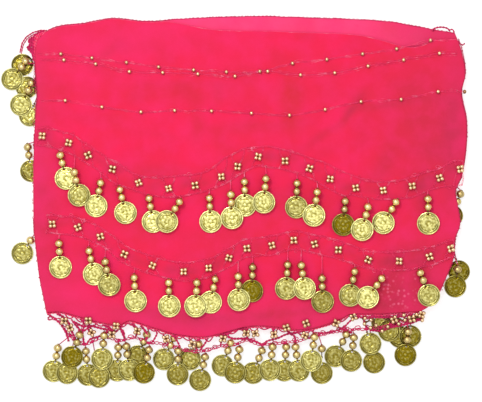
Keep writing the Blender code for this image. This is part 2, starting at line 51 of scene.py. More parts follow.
# The photograph's frame, for the camera
PIXEL = 0.8
FRAME_WIDTH_PX = 482
CAMERA_X = 4.3
CAMERA_Y = 1.9
CLOTH_LEVEL = 9.0
LENS = 300.0
SENSOR = 36.0
FLOOR_HALF = 12.0
SKY_STRENGTH = 0.95

# The trim's sizes
COIN_RADIUS = 9.0
FRINGE_COIN_RADIUS = 8.9
COIN_HALF = 0.4
COIN_RELIEF = 0.5
HOLE_RADIUS = 0.8
HOLE_INSET = 1.75
HOLE_STEPS = 12
RIM_STEPS = 58
RIM_HEIGHT = 0.7
COIN_LIFT = 1.05
COIN_LEAN = 0.067
FRINGE_AGING = 0.16
BEAD_RADIUS = 3.1
BEAD_PITCH = 6.4
SMALL_BEAD = 1.65
LINE_BEAD = 1.5
FLOWER_OFFSET = 1.5
STITCH_PITCH = 2.3
STITCH_WIDTH = 0.7
STITCH_THREAD = 0.19
LINE_THREAD = 0.15
DANGLE_THREAD = 0.42
NET_CORD = 0.9
ROW_HALF_HEIGHT = 7.2

# The cloth's sizes and how it is stacked
CLOTH_THICKNESS = 1.0
SEAM_GAP = 0.3
REST_GAP = 0.5
FLOOR_GAP = 0.4
EDGE_INSET = 0.8
STACK_TOP = 7.4
EDGE_DROP = 1.9
EDGE_RUN = 15.0
FOLD_RISE = 0.5
LEVEL_STEP = 1.8
HEAD_Y = 138.5
FOOT_Y = -88.0
CHIFFON = 0.4
HEM_HEIGHT = 6.4
NET_HEIGHT = 5.2
SIDE_HEIGHT = 4.6

LEFT_SIDE = (
    ("y", "x"),
    (-88, -151.5), (-78, -153.5), (-64, -156.5), (-50, -158.5), (-20, -161.5), (25, -162), (60, -161),
    (75, -160), (87, -159), (107, -160.5), (124, -160.5), (132, -158), (138.5, -151),
)
RIGHT_SIDE = (
    ("y", "x"),
    (-88, 147.5), (-83, 155.5), (-73, 163), (-62, 168), (-45, 174.5), (-29, 176), (-16.5, 180), (-1.5, 178),
    (10.5, 176.5), (22, 181), (43, 184.5), (67, 185), (89, 181), (105, 184), (124, 181), (138.5, 175.5),
)
TOP_SIDE = (
    ("x", "y"),
    (-151, 138.5), (-140.5, 142.5), (-124.5, 144), (-108.5, 147), (-96.5, 148.5), (-72.5, 146),
    (-48.5, 147.5), (-28.5, 148.7), (21, 150), (51.5, 149), (83.5, 148), (119.5, 146), (139.5, 143),
    (157, 139.5), (175.5, 136.5),
)
BOTTOM_SIDE = (
    ("x", "y"),
    (-151.5, -88), (-140.5, -87.5), (-124.5, -91.5), (-112.5, -95), (-94, -98), (-84.5, -94.5),
    (-72.5, -98), (-56.5, -103), (-44.5, -106), (-24.5, -107.5), (-11, -104.5), (11.5, -99), (31.5, -99.5),
    (43.5, -101.5), (55.5, -101.5), (71.5, -98), (83.5, -93.5), (91.5, -89.5), (115.5, -89), (147.5, -87),
)
FRONT_TOP_STEP = (
    ("x", "step"),
    (-151, 1.2), (-60, 1.2), (-44, 3.6), (-19, 9.5), (3.5, 11.8), (44, 12.5), (83.5, 12.5), (101, 13.5),
    (127.5, 18.5), (139.5, 17.5), (157, 9), (175.5, 5),
)
SWELLS = (
    ("x", "y", "long", "wide", "turn", "rise"),
    (45, 80, 45, 14, 84, 0.9), (-70, 95, 60, 18, 78, 0.7), (130, 40, 50, 16, 96, 0.9),
    (-120, -10, 60, 18, 88, 0.8), (-10, 10, 50, 20, 20, 0.7), (90, -40, 45, 16, 60, 0.8),
    (-60, -60, 55, 16, 100, 0.7), (20, -70, 40, 15, 92, 0.6),
)
# Creases in the front stretch: two ends, how far the middle bows, half width and height
CREASES = (
    ("x0", "y0", "x1", "y1", "bow", "wide", "rise"),
    (131, 122, 60, 42, 6, 4.5, -0.45), (136, 116, 66, 40, 6, 3.5, 0.35), (-57, 127, -90, 112, -3, 2.6, 0.4),
    (-63, 122, -96, 106, -3, 3, -0.3), (39, 104, 40, 58, 1, 4, -0.4), (52, 106, 53, 56, -1, 4, 0.35),
    (150, 96, 168, 20, 5, 5, 0.45), (158, 100, 175, 22, 4, 3.5, -0.35), (100, 4, 128, -62, -6, 5, 0.4),
    (112, 0, 142, -66, -6, 4, -0.4), (-140, 104, -112, 60, 4, 4.5, 0.35), (-150, 92, -128, 48, 4, 4, -0.3),
    (-98, 98, -20, 90, 3, 4, 0.3), (-150, -2, -118, -24, 3, 4, -0.3), (-96, 0, -128, -58, 5, 4.5, 0.35),
    (-58, -20, -44, -50, 2, 4, -0.3), (-24, -10, 20, -26, -4, 4, 0.3), (60, 0, 84, -28, 3, 4, -0.3),
    (-100, -66, -92, -92, 1, 3, 0.35), (-50, -78, -46, -100, 1, 3, 0.35),
    (-22, -82, -20, -103, -1, 3, -0.3), (24, -74, 27, -96, 1, 3, 0.35), (62, -80, 64, -96, -1, 3, -0.3),
    (108, -68, 120, -86, 2, 3.5, 0.35), (8, 138, 84, 134, -2, 3, 0.3), (-132, 132, -90, 137, 2, 3, -0.25),
)
# How the layers below show through the front stretch: middle, half length, half width, turn in degrees, and
# how much the cloth goes red, magenta or dim there
SHADES = (
    ("x", "y", "long", "wide", "turn", "red", "magenta", "dim"),
    (45, 80, 26, 9, 90, 0.75, 0, 0.1), (140, 74, 60, 46, 90, 0.42, 0, 0.2),
    (158, 52, 60, 24, 90, 0.25, 0.1, 0.3), (145, -62, 36, 30, 60, 0.4, 0.3, 0.62),
    (176, 66, 80, 9, 90, 0, 0.6, 0.35), (-40, 88, 110, 9, 0, 0.3, 0, 0.1),
    (-92, -12, 46, 12, -20, 0.4, 0.1, 0.12), (56, -6, 52, 12, -10, 0.42, 0.1, 0.12),
    (-40, 5, 14, 18, 90, -0.35, -0.1, -0.1), (-100, 132, 90, 14, 0, 0, 0.5, 0.05),
    (-158, 30, 110, 8, 90, 0, 0.6, 0.05), (-20, -96, 150, 14, 0, -0.2, 0.95, 0.25),
    (-140, -70, 40, 24, 60, -0.2, 0.6, 0.05), (-100, 58, 60, 16, 0, -0.25, 0.05, -0.1),
    (90, -78, 60, 14, 0, 0.2, 0.35, 0.35), (-118, 112, 44, 16, 0, 0, 0.3, 0),
    (40, 114, 60, 10, 0, 0.12, 0, 0), (-4, -30, 40, 10, 30, 0.35, 0.1, 0.1),
    (92, 74, 15, 3.5, 56, 0.3, 0, 0.45), (71, 56, 18, 4, 36, 0.25, 0, 0.4),
    (78, 66, 12, 6, 50, -0.4, 0, -0.2), (-31, 62, 13, 5.5, 90, 0.3, 0, 0.2),
    (-14, 88, 12, 5, 90, 0.25, 0, 0.12), (120, 79, 34, 3.5, 8, 0.25, 0, 0.35),
    (-104, 119, 12, 4, 40, 0.2, 0.1, 0.25), (-160, 100, 40, 9, 90, 0.1, 0.3, 0.3),
    (-154, -10, 84, 15, 90, 0.1, 0.3, 0.32), (118, 30, 26, 7, 70, 0.2, 0, 0.3),
    (20, 62, 40, 5, 4, 0.2, 0, 0.15), (-70, 56, 30, 4, -8, 0.2, 0, 0.15), (150, 10, 16, 5, 80, 0.2, 0, 0.4),
    (-60, -88, 60, 5, -6, 0, 0.3, 0.3), (40, -88, 50, 4, 4, 0, 0.25, 0.35),
    (118, -70, 22, 12, 60, 0.2, 0.2, 0.4), (-112, 68, 34, 9, 0, 0.1, 0.05, 0.2),
    (-60, 23, 38, 8, -8, 0.1, 0.1, 0.28), (-30, 96, 60, 4, 0, 0, 0.2, 0.15),
    (10, 60, 36, 8, 0, 0.15, 0, 0.12),
)
# Where the beads of the stretch below show faintly through the cloth
UNDER_BEADS = (
    ("x", "y", "reach"),
    (122, -66, 7), (134, -70, 8), (145, -64, 6), (128, -80, 5), (140, -80, 5),
)
UPPER_FLOWERS = (
    ("x", "y"),
    (-154.5, 54), (-133.5, 48.5), (-118, 38.5), (-98.5, 27.5), (-77.5, 16.5), (-53.5, 12), (-32.5, 14.5),
    (-11.5, 21.5), (1.5, 29.5), (18, 37.5), (39.5, 34), (59, 28), (75.5, 19.5), (96, 12.5), (118, 10.5),
    (141, 14), (163, 20.5), (179.5, 27.5),
)
UPPER_TOP_CHAIN = (
    ("x", "y"),
    (-160, 60), (-150, 59.5), (-133.5, 56), (-118, 46.5), (-98.5, 34), (-74, 21.5), (-43, 22.5),
    (-24.5, 25), (-8, 36.5), (8, 43.5), (22, 45.5), (35.5, 43.5), (49, 40), (71.5, 32), (88, 24.5),
    (107.5, 18), (132, 18.5), (149, 24), (164, 28.5), (174, 34), (182, 34),
)
UPPER_LOW_CHAIN = (
    ("x", "y"),
    (-160, 46.5), (-150, 46), (-130, 39), (-123, 34.5), (-111.5, 28), (-105, 21.5), (-88, 13), (-67, 6.5),
    (-52.5, 5), (-38, 7), (-28.5, 9), (-11.5, 14.5), (1.5, 22), (18, 30), (39.5, 27), (59, 20.5),
    (75.5, 11.5), (86, 6.5), (93, 7), (106, 4), (122.5, 3.5), (145, 6.5), (159.5, 12.5), (180, 14.5),
)
LOWER_FLOWERS = (
    ("x", "y"),
    (-146.5, -16.5), (-126, -19), (-108, -26.5), (-89, -40.5), (-66.5, -49.5), (-41.5, -54.5),
    (-21.5, -51.5), (-5.5, -43.5), (9, -36), (29, -33.5), (46.5, -29.5), (63, -32.5), (82, -37), (106, -45),
    (130.5, -46), (155, -42.5), (172, -36),
)
# The dangles: first bead, coin's middle, level above what they lie on, beads, and how dark the coin is
DANGLE_COLUMNS = ("bead_x", "bead_y", "coin_x", "coin_y", "level", "beads", "patina")
UPPER_DANGLES = (
    DANGLE_COLUMNS,
    (-140, 38.5, -135.5, 20, 0, 2, 0.1), (-128.5, 24.5, -125, 6.5, 1, 2, 0.4),
    (-108, 16, -111.5, -2, 0, 2, 0.15), (-92.5, 11, -88, -7.5, 0, 2, 0.1), (-69, 3, -66, -14.5, 0, 2, 0.1),
    (-45, 1, -55, -14.5, 1, 2, 0.15), (-21, 3.5, -20, -14.5, 0, 2, 0.05), (-4, 7, -3, -11.5, 1, 2, 0.1),
    (7, 16.5, 7.5, -1.5, 0, 2, 0.15), (24, 19, 22.5, 1, 1, 2, 0.15), (49, 16, 48.5, -3, 0, 2, 0.5),
    (65, 8.5, 62.5, -9.5, 1, 2, 0.1), (87.5, 1.5, 86, -17, 0, 2, 1), (105.5, -3, 101, -21, 1, 2, 0.1),
    (128, 1, 118, -15.5, 0, 2, 0.15), (153.5, 3.5, 154, -16, 0, 2, 0.4),
)
LOWER_DANGLES = (
    DANGLE_COLUMNS,
    (-141, -32, -140, -51, 0, 2, 0.2), (-117, -38, -113, -56.5, 0, 2, 0.15),
    (-104, -46.5, -101, -65, 1, 2, 0.55), (-81, -59.5, -80, -78, 0, 2, 0.25),
    (-53.5, -63.5, -53, -82, 0, 2, 0.05), (-31, -63.5, -32, -82, 1, 2, 0.1),
    (-16.5, -61, -20, -79, 0, 2, 0.15), (2, -59, 2.5, -77, 1, 2, 0.15), (13.5, -51, 13, -70, 0, 2, 1),
    (41.5, -49, 40.5, -68, 0, 2, 0.6), (52.5, -49.5, 55, -68, 1, 2, 0.2),
    (69, -60, 69.5, -78.5, 0, 2, 0.85), (95, -54.5, 91.5, -73.5, 0, 2, 0.5),
    (116.5, -60, 105.5, -75, 1, 2, 0.05), (147.5, -55.5, 154.5, -73.5, 0, 2, 0.55),
)
NET_CHAIN = (
    ("x", "y"),
    (-151.5, -90.5), (-138.5, -95.5), (-133, -105.5), (-122, -113), (-106, -107), (-92.5, -110),
    (-80.5, -107), (-71.5, -111.5), (-60.5, -112), (-48.5, -115.5), (-40.5, -118), (-26, -118), (-11, -114),
    (0, -113), (9, -109.5), (21, -113), (43.5, -111), (59.5, -107.5), (75.5, -103.5), (91.5, -101.5),
    (108.5, -100), (123.5, -97.5), (139.5, -95), (152.5, -88),
)
NET_FLOWERS = (
    ("x", "y"),
    (-137.3, -94.1), (-132.5, -99.7), (-117.8, -93.7), (-115.2, -103.5), (-99, -105), (-95.6, -98),
    (-78.7, -102.1), (-55.7, -108.3), (-34.6, -112.8), (-10.2, -108.3), (8.5, -103.9), (15.8, -104.1),
    (30.7, -105), (40.6, -99.3), (55.4, -105.5), (56.2, -95.9), (80.4, -95.8), (94.3, -90.8), (126.8, -93),
    (141, -92.2), (149, -89),
)
# Cords of the net between the cloth's edge and the net's chain, each by the places it runs through
NET_CORDS = (
    ((-150.5, -88.5), (-145.5, -92), (-140, -97), (-135.5, -104.5), (-133.8, -110.5)),
    ((-143, -88.5), (-138, -91), (-133.5, -96), (-131, -103), (-127.5, -110.5)),
    ((-131.5, -93), (-127, -99), (-122.5, -102.5), (-119, -100.5), (-112, -97)),
    ((-124.5, -92.5), (-121, -97), (-122.5, -102.5), (-121.5, -112.5)),
    ((-119, -113), (-116.5, -108.8), (-109.4, -106.5), (-103, -103.5), (-96, -102.6), (-90.5, -98)),
    ((-105, -97.5), (-100.5, -101), (-99, -107.5)), ((-93, -98), (-91.5, -102), (-88.9, -107.9)),
    ((-86, -96), (-81.5, -98.5), (-79, -103), (-80.5, -107.5)),
    ((-76, -98), (-72.5, -102), (-70.5, -106), (-73, -111)),
    ((-58.5, -104), (-56.5, -108.5), (-52.5, -114.5)), ((-50.5, -106), (-47, -110), (-44, -116.5)),
    ((-37.5, -107.5), (-34.6, -113), (-30, -118)), ((-22, -107.5), (-24.5, -112), (-28.5, -117.5)),
    ((-15.5, -106), (-8, -106.2), (-1.8, -108.4), (8.9, -108.4), (17.8, -111.5), (21.3, -114.2)),
    ((-13.4, -105.5), (-6.2, -103.5), (1.8, -101), (9, -100)), ((-10, -106.5), (-11.5, -110), (-12, -114)),
    ((8, -100.5), (8.5, -104.5), (10, -109.5)),
    ((21.3, -114.2), (24.9, -110.5), (33.8, -108), (40.9, -104.8), (51.6, -102.8), (60.4, -101)),
    ((29.5, -100.5), (30.7, -104.5), (33.8, -108)),
    ((41, -102), (43.5, -104.5), (47.1, -106.5), (48, -112)), ((55, -102), (55.5, -105.5), (58.5, -108)),
    ((61.5, -103.5), (69, -103.8), (76.4, -103), (82, -101.5), (87.5, -98.5), (92, -94), (99, -89.8)),
    ((78, -96), (81, -98.5), (87, -101.5)), ((103.5, -90), (103, -96), (106.5, -101)),
    ((107.5, -101.5), (116.3, -102), (123.5, -99.5), (132, -97.8), (140, -96), (148, -93)),
    ((126.6, -89), (127, -94), (123.5, -99)), ((139, -88.5), (137.5, -93), (139, -96.5)),
    ((148.5, -87.5), (150, -90.5), (147, -93.5)),
    ((-129.8, -94.6), (-122.7, -98.2), (-115.6, -98.2), (-106.7, -100.4), (-95.2, -102.6)),
    ((-127.2, -97.3), (-125.4, -101.7), (-127.2, -105.3)),
    ((-118.3, -92.5), (-116.5, -95.5), (-118.3, -100), (-114.5, -106.5)),
    ((-106.7, -97.2), (-101.4, -99.1), (-103.2, -102.6), (-105.8, -104.4)),
    ((-82.7, -95.5), (-80.9, -97.8), (-78.3, -100.9), (-76.5, -105.3)),
    ((-94.3, -99.1), (-89.8, -102.6), (-89.4, -108)),
    ((-66, -100), (-63, -103.5), (-64.5, -107.5), (-67, -111.5)),
    ((49.7, -103.5), (55.1, -107.1), (60.4, -108), (65.7, -107.1)),
    ((86.2, -98.2), (89.7, -101.7), (93.3, -104)),
    ((99.5, -91.2), (108, -91), (119, -91.2), (131, -90.6), (143, -89.8), (150, -88.4)),
    ((121, -98), (129, -94.5), (138, -94), (149, -91.5)),
)
# Dark threads in the tangle of small beads at the net's right end; they also paint the shade among those
# beads.
DARK_CORDS_AND_SHADE = (
    ((101, -91.5), (104.5, -95), (109, -93), (111.5, -97.5)),
    ((121, -92.5), (126, -95.5), (131, -92.5), (136.5, -95), (143, -92), (149.5, -90.5)),
    ((128, -90.5), (134, -93.8), (140, -90.5), (147, -91.5)), ((139, -89), (144.5, -90.2), (150.5, -87.5)),
)
# Second beads of side dangles, by their middles
SIDE_BEADS = (
    ("x", "y", "z"),
    (-168.4, 113.8, 5), (-163.8, 96.3, 5), (177.8, 1.4, 3.3),
)
# Single small beads in the tangle at the net's right end
NET_BEADS = (
    ("x", "y"),
    (103.5, -91.9), (103.1, -96.4), (108.4, -93.3), (108, -99.5), (117.3, -102.2), (121.8, -98.6),
    (130.6, -96.4), (134.6, -89.3), (135.5, -93.3), (144.8, -88.8), (149.3, -93.6), (112.5, -97.6),
)
FRINGE_DANGLES = (
    DANGLE_COLUMNS,
    (-142.5, -116, -146, -134.5, 0, 2, 0.5), (-125.5, -107, -131, -123, 2, 2, 0.9),
    (-134, -113, -135, -136, 1, 0, 0.55), (-120, -118.5, -118.5, -137.5, 0, 2, 0.6),
    (-105.5, -107, -107, -124.5, 2, 2, 0.5), (-110, -118, -109.5, -139, 1, 0, 0.6),
    (-94, -115.5, -95, -134, 0, 2, 0.65), (-87.5, -114.5, -85.5, -133.5, 1, 2, 0.55),
    (-71.5, -106, -78.5, -122.5, 0, 2, 0.65), (-69.5, -117.5, -73.5, -135.5, 2, 2, 0.85),
    (-49.5, -108, -57.5, -125, 0, 2, 0.5), (-46, -120, -46.5, -137, 1, 2, 0.7),
    (-29.5, -113, -36.5, -125, 0, 1, 0.45), (-24.5, -123, -28.5, -141.5, 1, 2, 0.65),
    (-4, -112, -10.5, -130, 0, 2, 0.55), (3, -117, -0.5, -135.5, 1, 2, 0.6),
    (21, -118, 14, -136, 0, 2, 0.6), (29.5, -115.5, 27.5, -133.5, 1, 2, 0.55),
    (40.5, -115, 39, -134, 0, 2, 0.65), (48, -115, 50.5, -134, 1, 2, 0.55),
    (63, -107, 60.5, -126, 2, 2, 0.35), (69, -116.5, 69, -136, 0, 1, 0.65),
    (88.5, -105, 80, -122.5, 1, 2, 0.6), (94.5, -108, 92.5, -126, 2, 2, 0.65),
    (104.5, -105, 108, -112.5, 1, 0, 0.6), (108, -104.5, 111, -127.5, 0, 0, 0.75),
    (109, -93.5, 117.5, -95.5, 0, 0, 0.55), (122.5, -97.5, 123, -102, 1, 0, 0.7),
    (131, -97.5, 131.5, -107, 0, 0, 0.8), (141, -94.5, 140, -106.5, 1, 0, 0.7),
    (138, -103.5, 136, -121.5, 2, 2, 0.85),
)
SIDE_GROUPS = (
    ("name", "side", "from_y", "to_y", "dangles"),
    ("left_upper_dangles", "left", 76, 124, (
        DANGLE_COLUMNS,
        (-168, 112.5, -171, 111, 0, 0, 0.75), (-172, 108.5, -179, 99.5, 1, 1, 0.4),
        (-165, 96, -167.5, 93, 0, 0, 0.55), (-166, 90.5, -172, 79, 1, 1, 0.3),
        (-163.5, 81, -165, 70.5, 0, 0, 0.3))),
    ("left_middle_dangle", "left", 44, 56, (
        DANGLE_COLUMNS,
        (-166.5, 45, -164, 26, 0, 2, 0.6))),
    ("left_lower_dangle", "left", -26, -12, (
        DANGLE_COLUMNS,
        (-164.5, -30, -171, -40, 0, 1, 0.5))),
    ("right_upper_dangle", "right", 12, 22, (
        DANGLE_COLUMNS,
        (180, 7.5, 173.5, -10, 0, 1, 0.8))),
    ("right_lower_dangles", "right", -44, -28, (
        DANGLE_COLUMNS,
        (178.5, -43.5, 179, -54.5, 0, 0, 0.85), (178, -53, 176, -66.5, 1, 1, 0.9))),
)
# The three crochet lines near the top, by their beads
LINE_A = (
    ("x", "y"),
    (-139.7, 119.5), (-114.9, 116.3), (-87.3, 112.7), (-61.6, 109.1), (-33.6, 106.7), (-7.4, 105.1),
    (19.3, 105.6), (45.4, 112), (72.9, 115.1), (101.4, 119.5), (128.6, 123.5), (155.7, 130.4),
)
LINE_B = (
    ("x", "y"),
    (-137.3, 114.7), (-111.9, 111.5), (-85, 105.4), (-58.3, 104.6), (-30.2, 103.5), (-0.6, 101.7),
    (25.6, 105.6), (51.8, 102.7), (79.2, 104.4), (105.8, 109.8), (134.2, 114.7), (162.8, 120),
)
LINE_C = (
    ("x", "y"),
    (-136.2, 82.3), (-106.9, 77.1), (-75.7, 73.1), (-48.8, 74.3), (-19.3, 73.9), (12.6, 72.2), (43, 70.5),
    (71.5, 75.1), (100.2, 81.4), (132.2, 83.2), (161.8, 89.4), (183.2, 89.4),
)
# Turned coin faces: petals, spokes and the figure's turn
COIN_FACES = (
    ("petals", "leaves", "turn"),
    (6, 0, 0.2), (5, 14, 1.1), (8, 0, 2.3), (3, 12, 0.7), (4, 16, 2.9), (7, 10, 1.7),
)
# Loose crochet ends round the edges: the places they run through, a shift, the radius and the yarn
CORNER = (
    (-153.5, 138, 7), (-158, 136.6, 6.4), (-161.4, 134.6, 5.8), (-162.8, 130, 5.6), (-162, 125, 5.6),
    (-162.6, 119.5, 5.6), (-161.4, 114, 5.6),
)
SHELL = (
    (-163, 133, 6), (-166, 130.5, 5), (-164.5, 127.5, 5), (-167, 124.5, 4.5), (-164, 121.5, 5),
    (-162, 118.5, 6),
)
LOOSE = (
    (-151, 138.4, 7.6), (-156.5, 138.6, 5.4), (-162.5, 137, 2.6), (-168, 133.5, 0.9), (-171.3, 128.5, 0.8),
    (-173, 121, 0.8),
)
INNER = ((-152, 137, 7), (-157.5, 136.4, 4.5), (-162, 134, 4), (-164, 130.5, 4.5))
SIDE_HOOK = ((178.2, 130.2, 6.2), (179.8, 127.8, 5.6), (182, 126.6, 5), (183.6, 128.2, 4.6))
TOP_HOOK = ((171, 138.2, 7.6), (172.6, 139.4, 7.4), (174.2, 138.8, 7.2), (175, 136.4, 7))
LOOSE_CORDS = (
    ("places", "shift", "radius", "kind"),
    (CORNER, (0, 0, 0), 0.95, 2), (CORNER, (1.5, -0.9, 0.3), 0.95, 0), (CORNER, (3, -1.8, 0.6), 0.95, 0),
    (SHELL, (0, 0, 0), 0.95, 2), (SHELL, (1.3, -0.65, 0.13), 0.95, 2), (SHELL, (2.8, -1.4, 0.28), 0.95, 2),
    (LOOSE, (0, 0, 0), 0.6, 2), (LOOSE[2:], (1, -1.2, 0), 0.45, 2), (INNER, (0, 0, 0), 0.65, 2),
    (SIDE_HOOK, (0, 0, 0), 0.6, 2), (TOP_HOOK, (0, 0, 0), 0.6, 2),
)
# The leaves of the hidden stretches
HIDDEN_LEAVES = (
    ("inset", "low", "high", "seed"),
    (16.4, 0.05, 1.6, 1), (15.8, 1.75, 3.35, 4), (1.5, 3.75, 5.15, 7), (1.3, 5, 6, 10),
)
# How far in the cloth's points lie at its edges, before they are even
CLOTH_ENDS = (0, 0.35, 0.9, 1.8, 3.2, 5, 7)
TONES = ("red", "magenta", "dim", "under")
GOLDS = ("coin", "bead", "seed")
# One chain stitch, along and across
STITCH_LOOP = ((0, 0), (0.3, 0.42), (0.72, 0.5), (1.12, 0.22), (1.12, -0.22), (0.72, -0.5), (0.3, -0.42))
# The rings of points on a coin's face, as shares of its radius
COIN_RINGS = (
    1.0, 0.96, 0.915, 0.87, 0.83, 0.79, 0.75, 0.71, 0.66, 0.6, 0.54, 0.48, 0.42, 0.36, 0.3, 0.24, 0.17, 0.1,
)
SKY_STOPS = (
    ("height", "level"),
    (0, 0.6), (0.4, 0.62), (0.72, 0.95), (0.97, 1.45),
)


def rows(table):
    """The rows of a table with named columns, as dictionaries."""
    return [dict(zip(table[0], row)) for row in table[1:]]


def smooth(table, at):
    """The second column of a table at a value of the first, on a smooth curve through the rows."""
    points = table[1:]
    at = min(max(at, points[0][0]), points[-1][0])
    index = 0
    while index < len(points) - 2 and at > points[index + 1][0]:
        index += 1
    (x0, y0), (x1, y1) = points[index], points[index + 1]
    before, after = points[max(index - 1, 0)], points[min(index + 2, len(points) - 1)]
    span = x1 - x0
    slope0 = (y1 - before[1]) / (x1 - before[0])
    slope1 = (after[1] - y0) / (after[0] - x0)
    t = (at - x0) / span
    return (
        y0 * (1 + 2 * t) * (1 - t) ** 2 + slope0 * span * t * (1 - t) ** 2
        + y1 * t * t * (3 - 2 * t) - slope1 * span * t * t * (1 - t)
    )


def mix(low, high, t):
    return low + (high - low) * t


def clamp(value, low=0.0, high=1.0):
    return min(max(value, low), high)


def bell(distance, width):
    return math.exp(-((distance / width) ** 2))


def field(x, y, seed):
    """Smooth noise at a place."""
    return noise.noise(Vector((x, y, seed)))


def turns(count, start=0.0):
    """The cosine and sine of even steps round a circle."""
    angles = [math.tau * (step + start) / count for step in range(count)]
    return [(math.cos(angle), math.sin(angle)) for angle in angles]


def bed_point(u, v):
    level = mix(FOOT_Y, HEAD_Y, v)
    x = mix(smooth(LEFT_SIDE, level), smooth(RIGHT_SIDE, level), u)
    return x, mix(smooth(BOTTOM_SIDE, x), smooth(TOP_SIDE, x), v)


def bed_uv(x, y):
    low, high = smooth(BOTTOM_SIDE, x), smooth(TOP_SIDE, x)
    v = (y - low) / (high - low)
    level = mix(FOOT_Y, HEAD_Y, v)
    left, right = smooth(LEFT_SIDE, level), smooth(RIGHT_SIDE, level)
    return (x - left) / (right - left), v


ACROSS = RIGHT_SIDE[-1][1] - LEFT_SIDE[-1][1]
ALONG = HEAD_Y - FOOT_Y


def edge_distance(u, v):
    return max(min(u * ACROSS, (1 - u) * ACROSS, v * ALONG, (1 - v) * ALONG), 0.0)


def rounding(reach):
    """How far a rounded edge has dropped, from 1 at the edge to 0 where it is level."""
    return 1 - math.sqrt(1 - (1 - min(reach, 1.0)) ** 2)


def stack_height(x, y):
    return STACK_TOP - EDGE_DROP * rounding(edge_distance(*bed_uv(x, y)) / EDGE_RUN)


def patches(table, x, y, *columns):
    """The sums of a table's soft patches at a place, one for each column asked for."""
    sums = [0.0] * len(columns)
    for patch in table:
        dx, dy = x - patch["x"], y - patch["y"]
        along = (dx * patch["cos"] + dy * patch["sin"]) / patch["long"]
        across = (dy * patch["cos"] - dx * patch["sin"]) / patch["wide"]
        weight = math.exp(-along * along - across * across)
        for index, column in enumerate(columns):
            sums[index] += weight * patch[column]
    return sums


def turned(table):
    """A table's rows with the cosine and sine of their turn."""
    made = rows(table)
    for row in made:
        angle = math.radians(row["turn"])
        row["cos"], row["sin"] = math.cos(angle), math.sin(angle)
    return made


SWELL_ROWS = turned(SWELLS)
SHADE_ROWS = turned(SHADES)
CREASE_ROWS = rows(CREASES)


def back_top(x, y):
    """The top of the back stretch, where its sheet lies."""
    return stack_height(x, y) + SEAM_GAP + CLOTH_THICKNESS


def front_top(x, y):
    """The top of the front stretch, where its sheet lies."""
    swell = patches(SWELL_ROWS, x, y, "rise")[0]
    return back_top(x, y) + SEAM_GAP + FOLD_RISE + swell + CLOTH_THICKNESS


def rest_height(x, y, reach):
    """Where something of this reach rests on the front stretch, clear of its swells."""
    spots = ((0, 0), (reach, 0), (-reach, 0), (0, reach), (0, -reach))
    return max(front_top(x + dx, y + dy) for dx, dy in spots) + REST_GAP


def floor_height(x, y, reach):
    return FLOOR_GAP


def front_top_v(u):
    """How far up the bed the front stretch's top edge lies."""
    x, _ = bed_point(u, 1.0)
    return 1 - smooth(FRONT_TOP_STEP, x) / (smooth(TOP_SIDE, x) - smooth(BOTTOM_SIDE, x))


class Shape:
    """Points and faces that grow into one mesh, with named values at the points."""

    def __init__(self, *values):
        self.points, self.faces, self.kinds = [], [], []
        self.values = {name: [] for name in values}

    def add(self, points, faces, kind=0, **values):
        start = len(self.points)
        self.points.extend(points)
        self.faces.extend([tuple(start + corner for corner in face) for face in faces])
        self.kinds.extend([kind] * len(faces))
        for name, column in self.values.items():
            given = values.get(name, 0.0)
            column.extend(given if isinstance(given, list) else [given] * len(points))

    def make(self, name, materials, slot=None, nodes=(), sharp=None):
        """Makes the mesh, rides it on the body when a slot is given, and hides the model's parts that it
        stands for.
        """
        mesh = bpy.data.meshes.new(name)
        mesh.from_pydata([(x * MM, y * MM, z * MM) for x, y, z in self.points], [], self.faces)
        mesh.polygons.foreach_set("material_index", self.kinds)
        mesh.polygons.foreach_set("use_smooth", [True] * len(self.faces))
        if sharp:
            mesh.set_sharp_from_angle(angle=math.radians(sharp))
        for label, column in self.values.items():
            mesh.attributes.new(label, "FLOAT", "POINT").data.foreach_set("value", column)
        for key in materials:
            mesh.materials.append(MATERIALS[key])
        piece = bpy.data.objects.new(name, mesh)
        bpy.context.scene.collection.objects.link(piece)
        if slot:
            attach(piece, BODY)
        if nodes:
            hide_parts(*nodes)
        return piece


def frame_of(way):
    """Two directions across a way: a level one and a rising one."""
    side = way.cross(UP)
    side = side.normalized() if side.length > 0.05 else Vector((1.0, 0.0, 0.0))
    return side, side.cross(way)


def bands(rings, sides, closed=False):
    """The faces between rings of points, and back to the first ring if closed."""
    faces = []
    for ring in range(rings if closed else rings - 1):
        near, far = ring * sides, (ring + 1) % rings * sides
        for step in range(sides):
            other = (step + 1) % sides
            faces.append((near + step, near + other, far + other, far + step))
    return faces


def tube(points, radius, sides=4, closed=False):
    """A thread through points, as points and faces."""
    count, ways = len(points), turns(sides, 0.5)
    corners = []
    for index, point in enumerate(points):
        if closed:
            way = points[(index + 1) % count] - points[index - 1]
        else:
            way = points[min(index + 1, count - 1)] - points[max(index - 1, 0)]
        side, rise = frame_of(way.normalized())
        corners += [point + side * (radius * c) + rise * (radius * s) for c, s in ways]
    faces = bands(count, sides, closed)
    if not closed:
        faces.append(tuple(reversed(range(sides))))
        faces.append(tuple((count - 1) * sides + step for step in range(sides)))
    return corners, faces


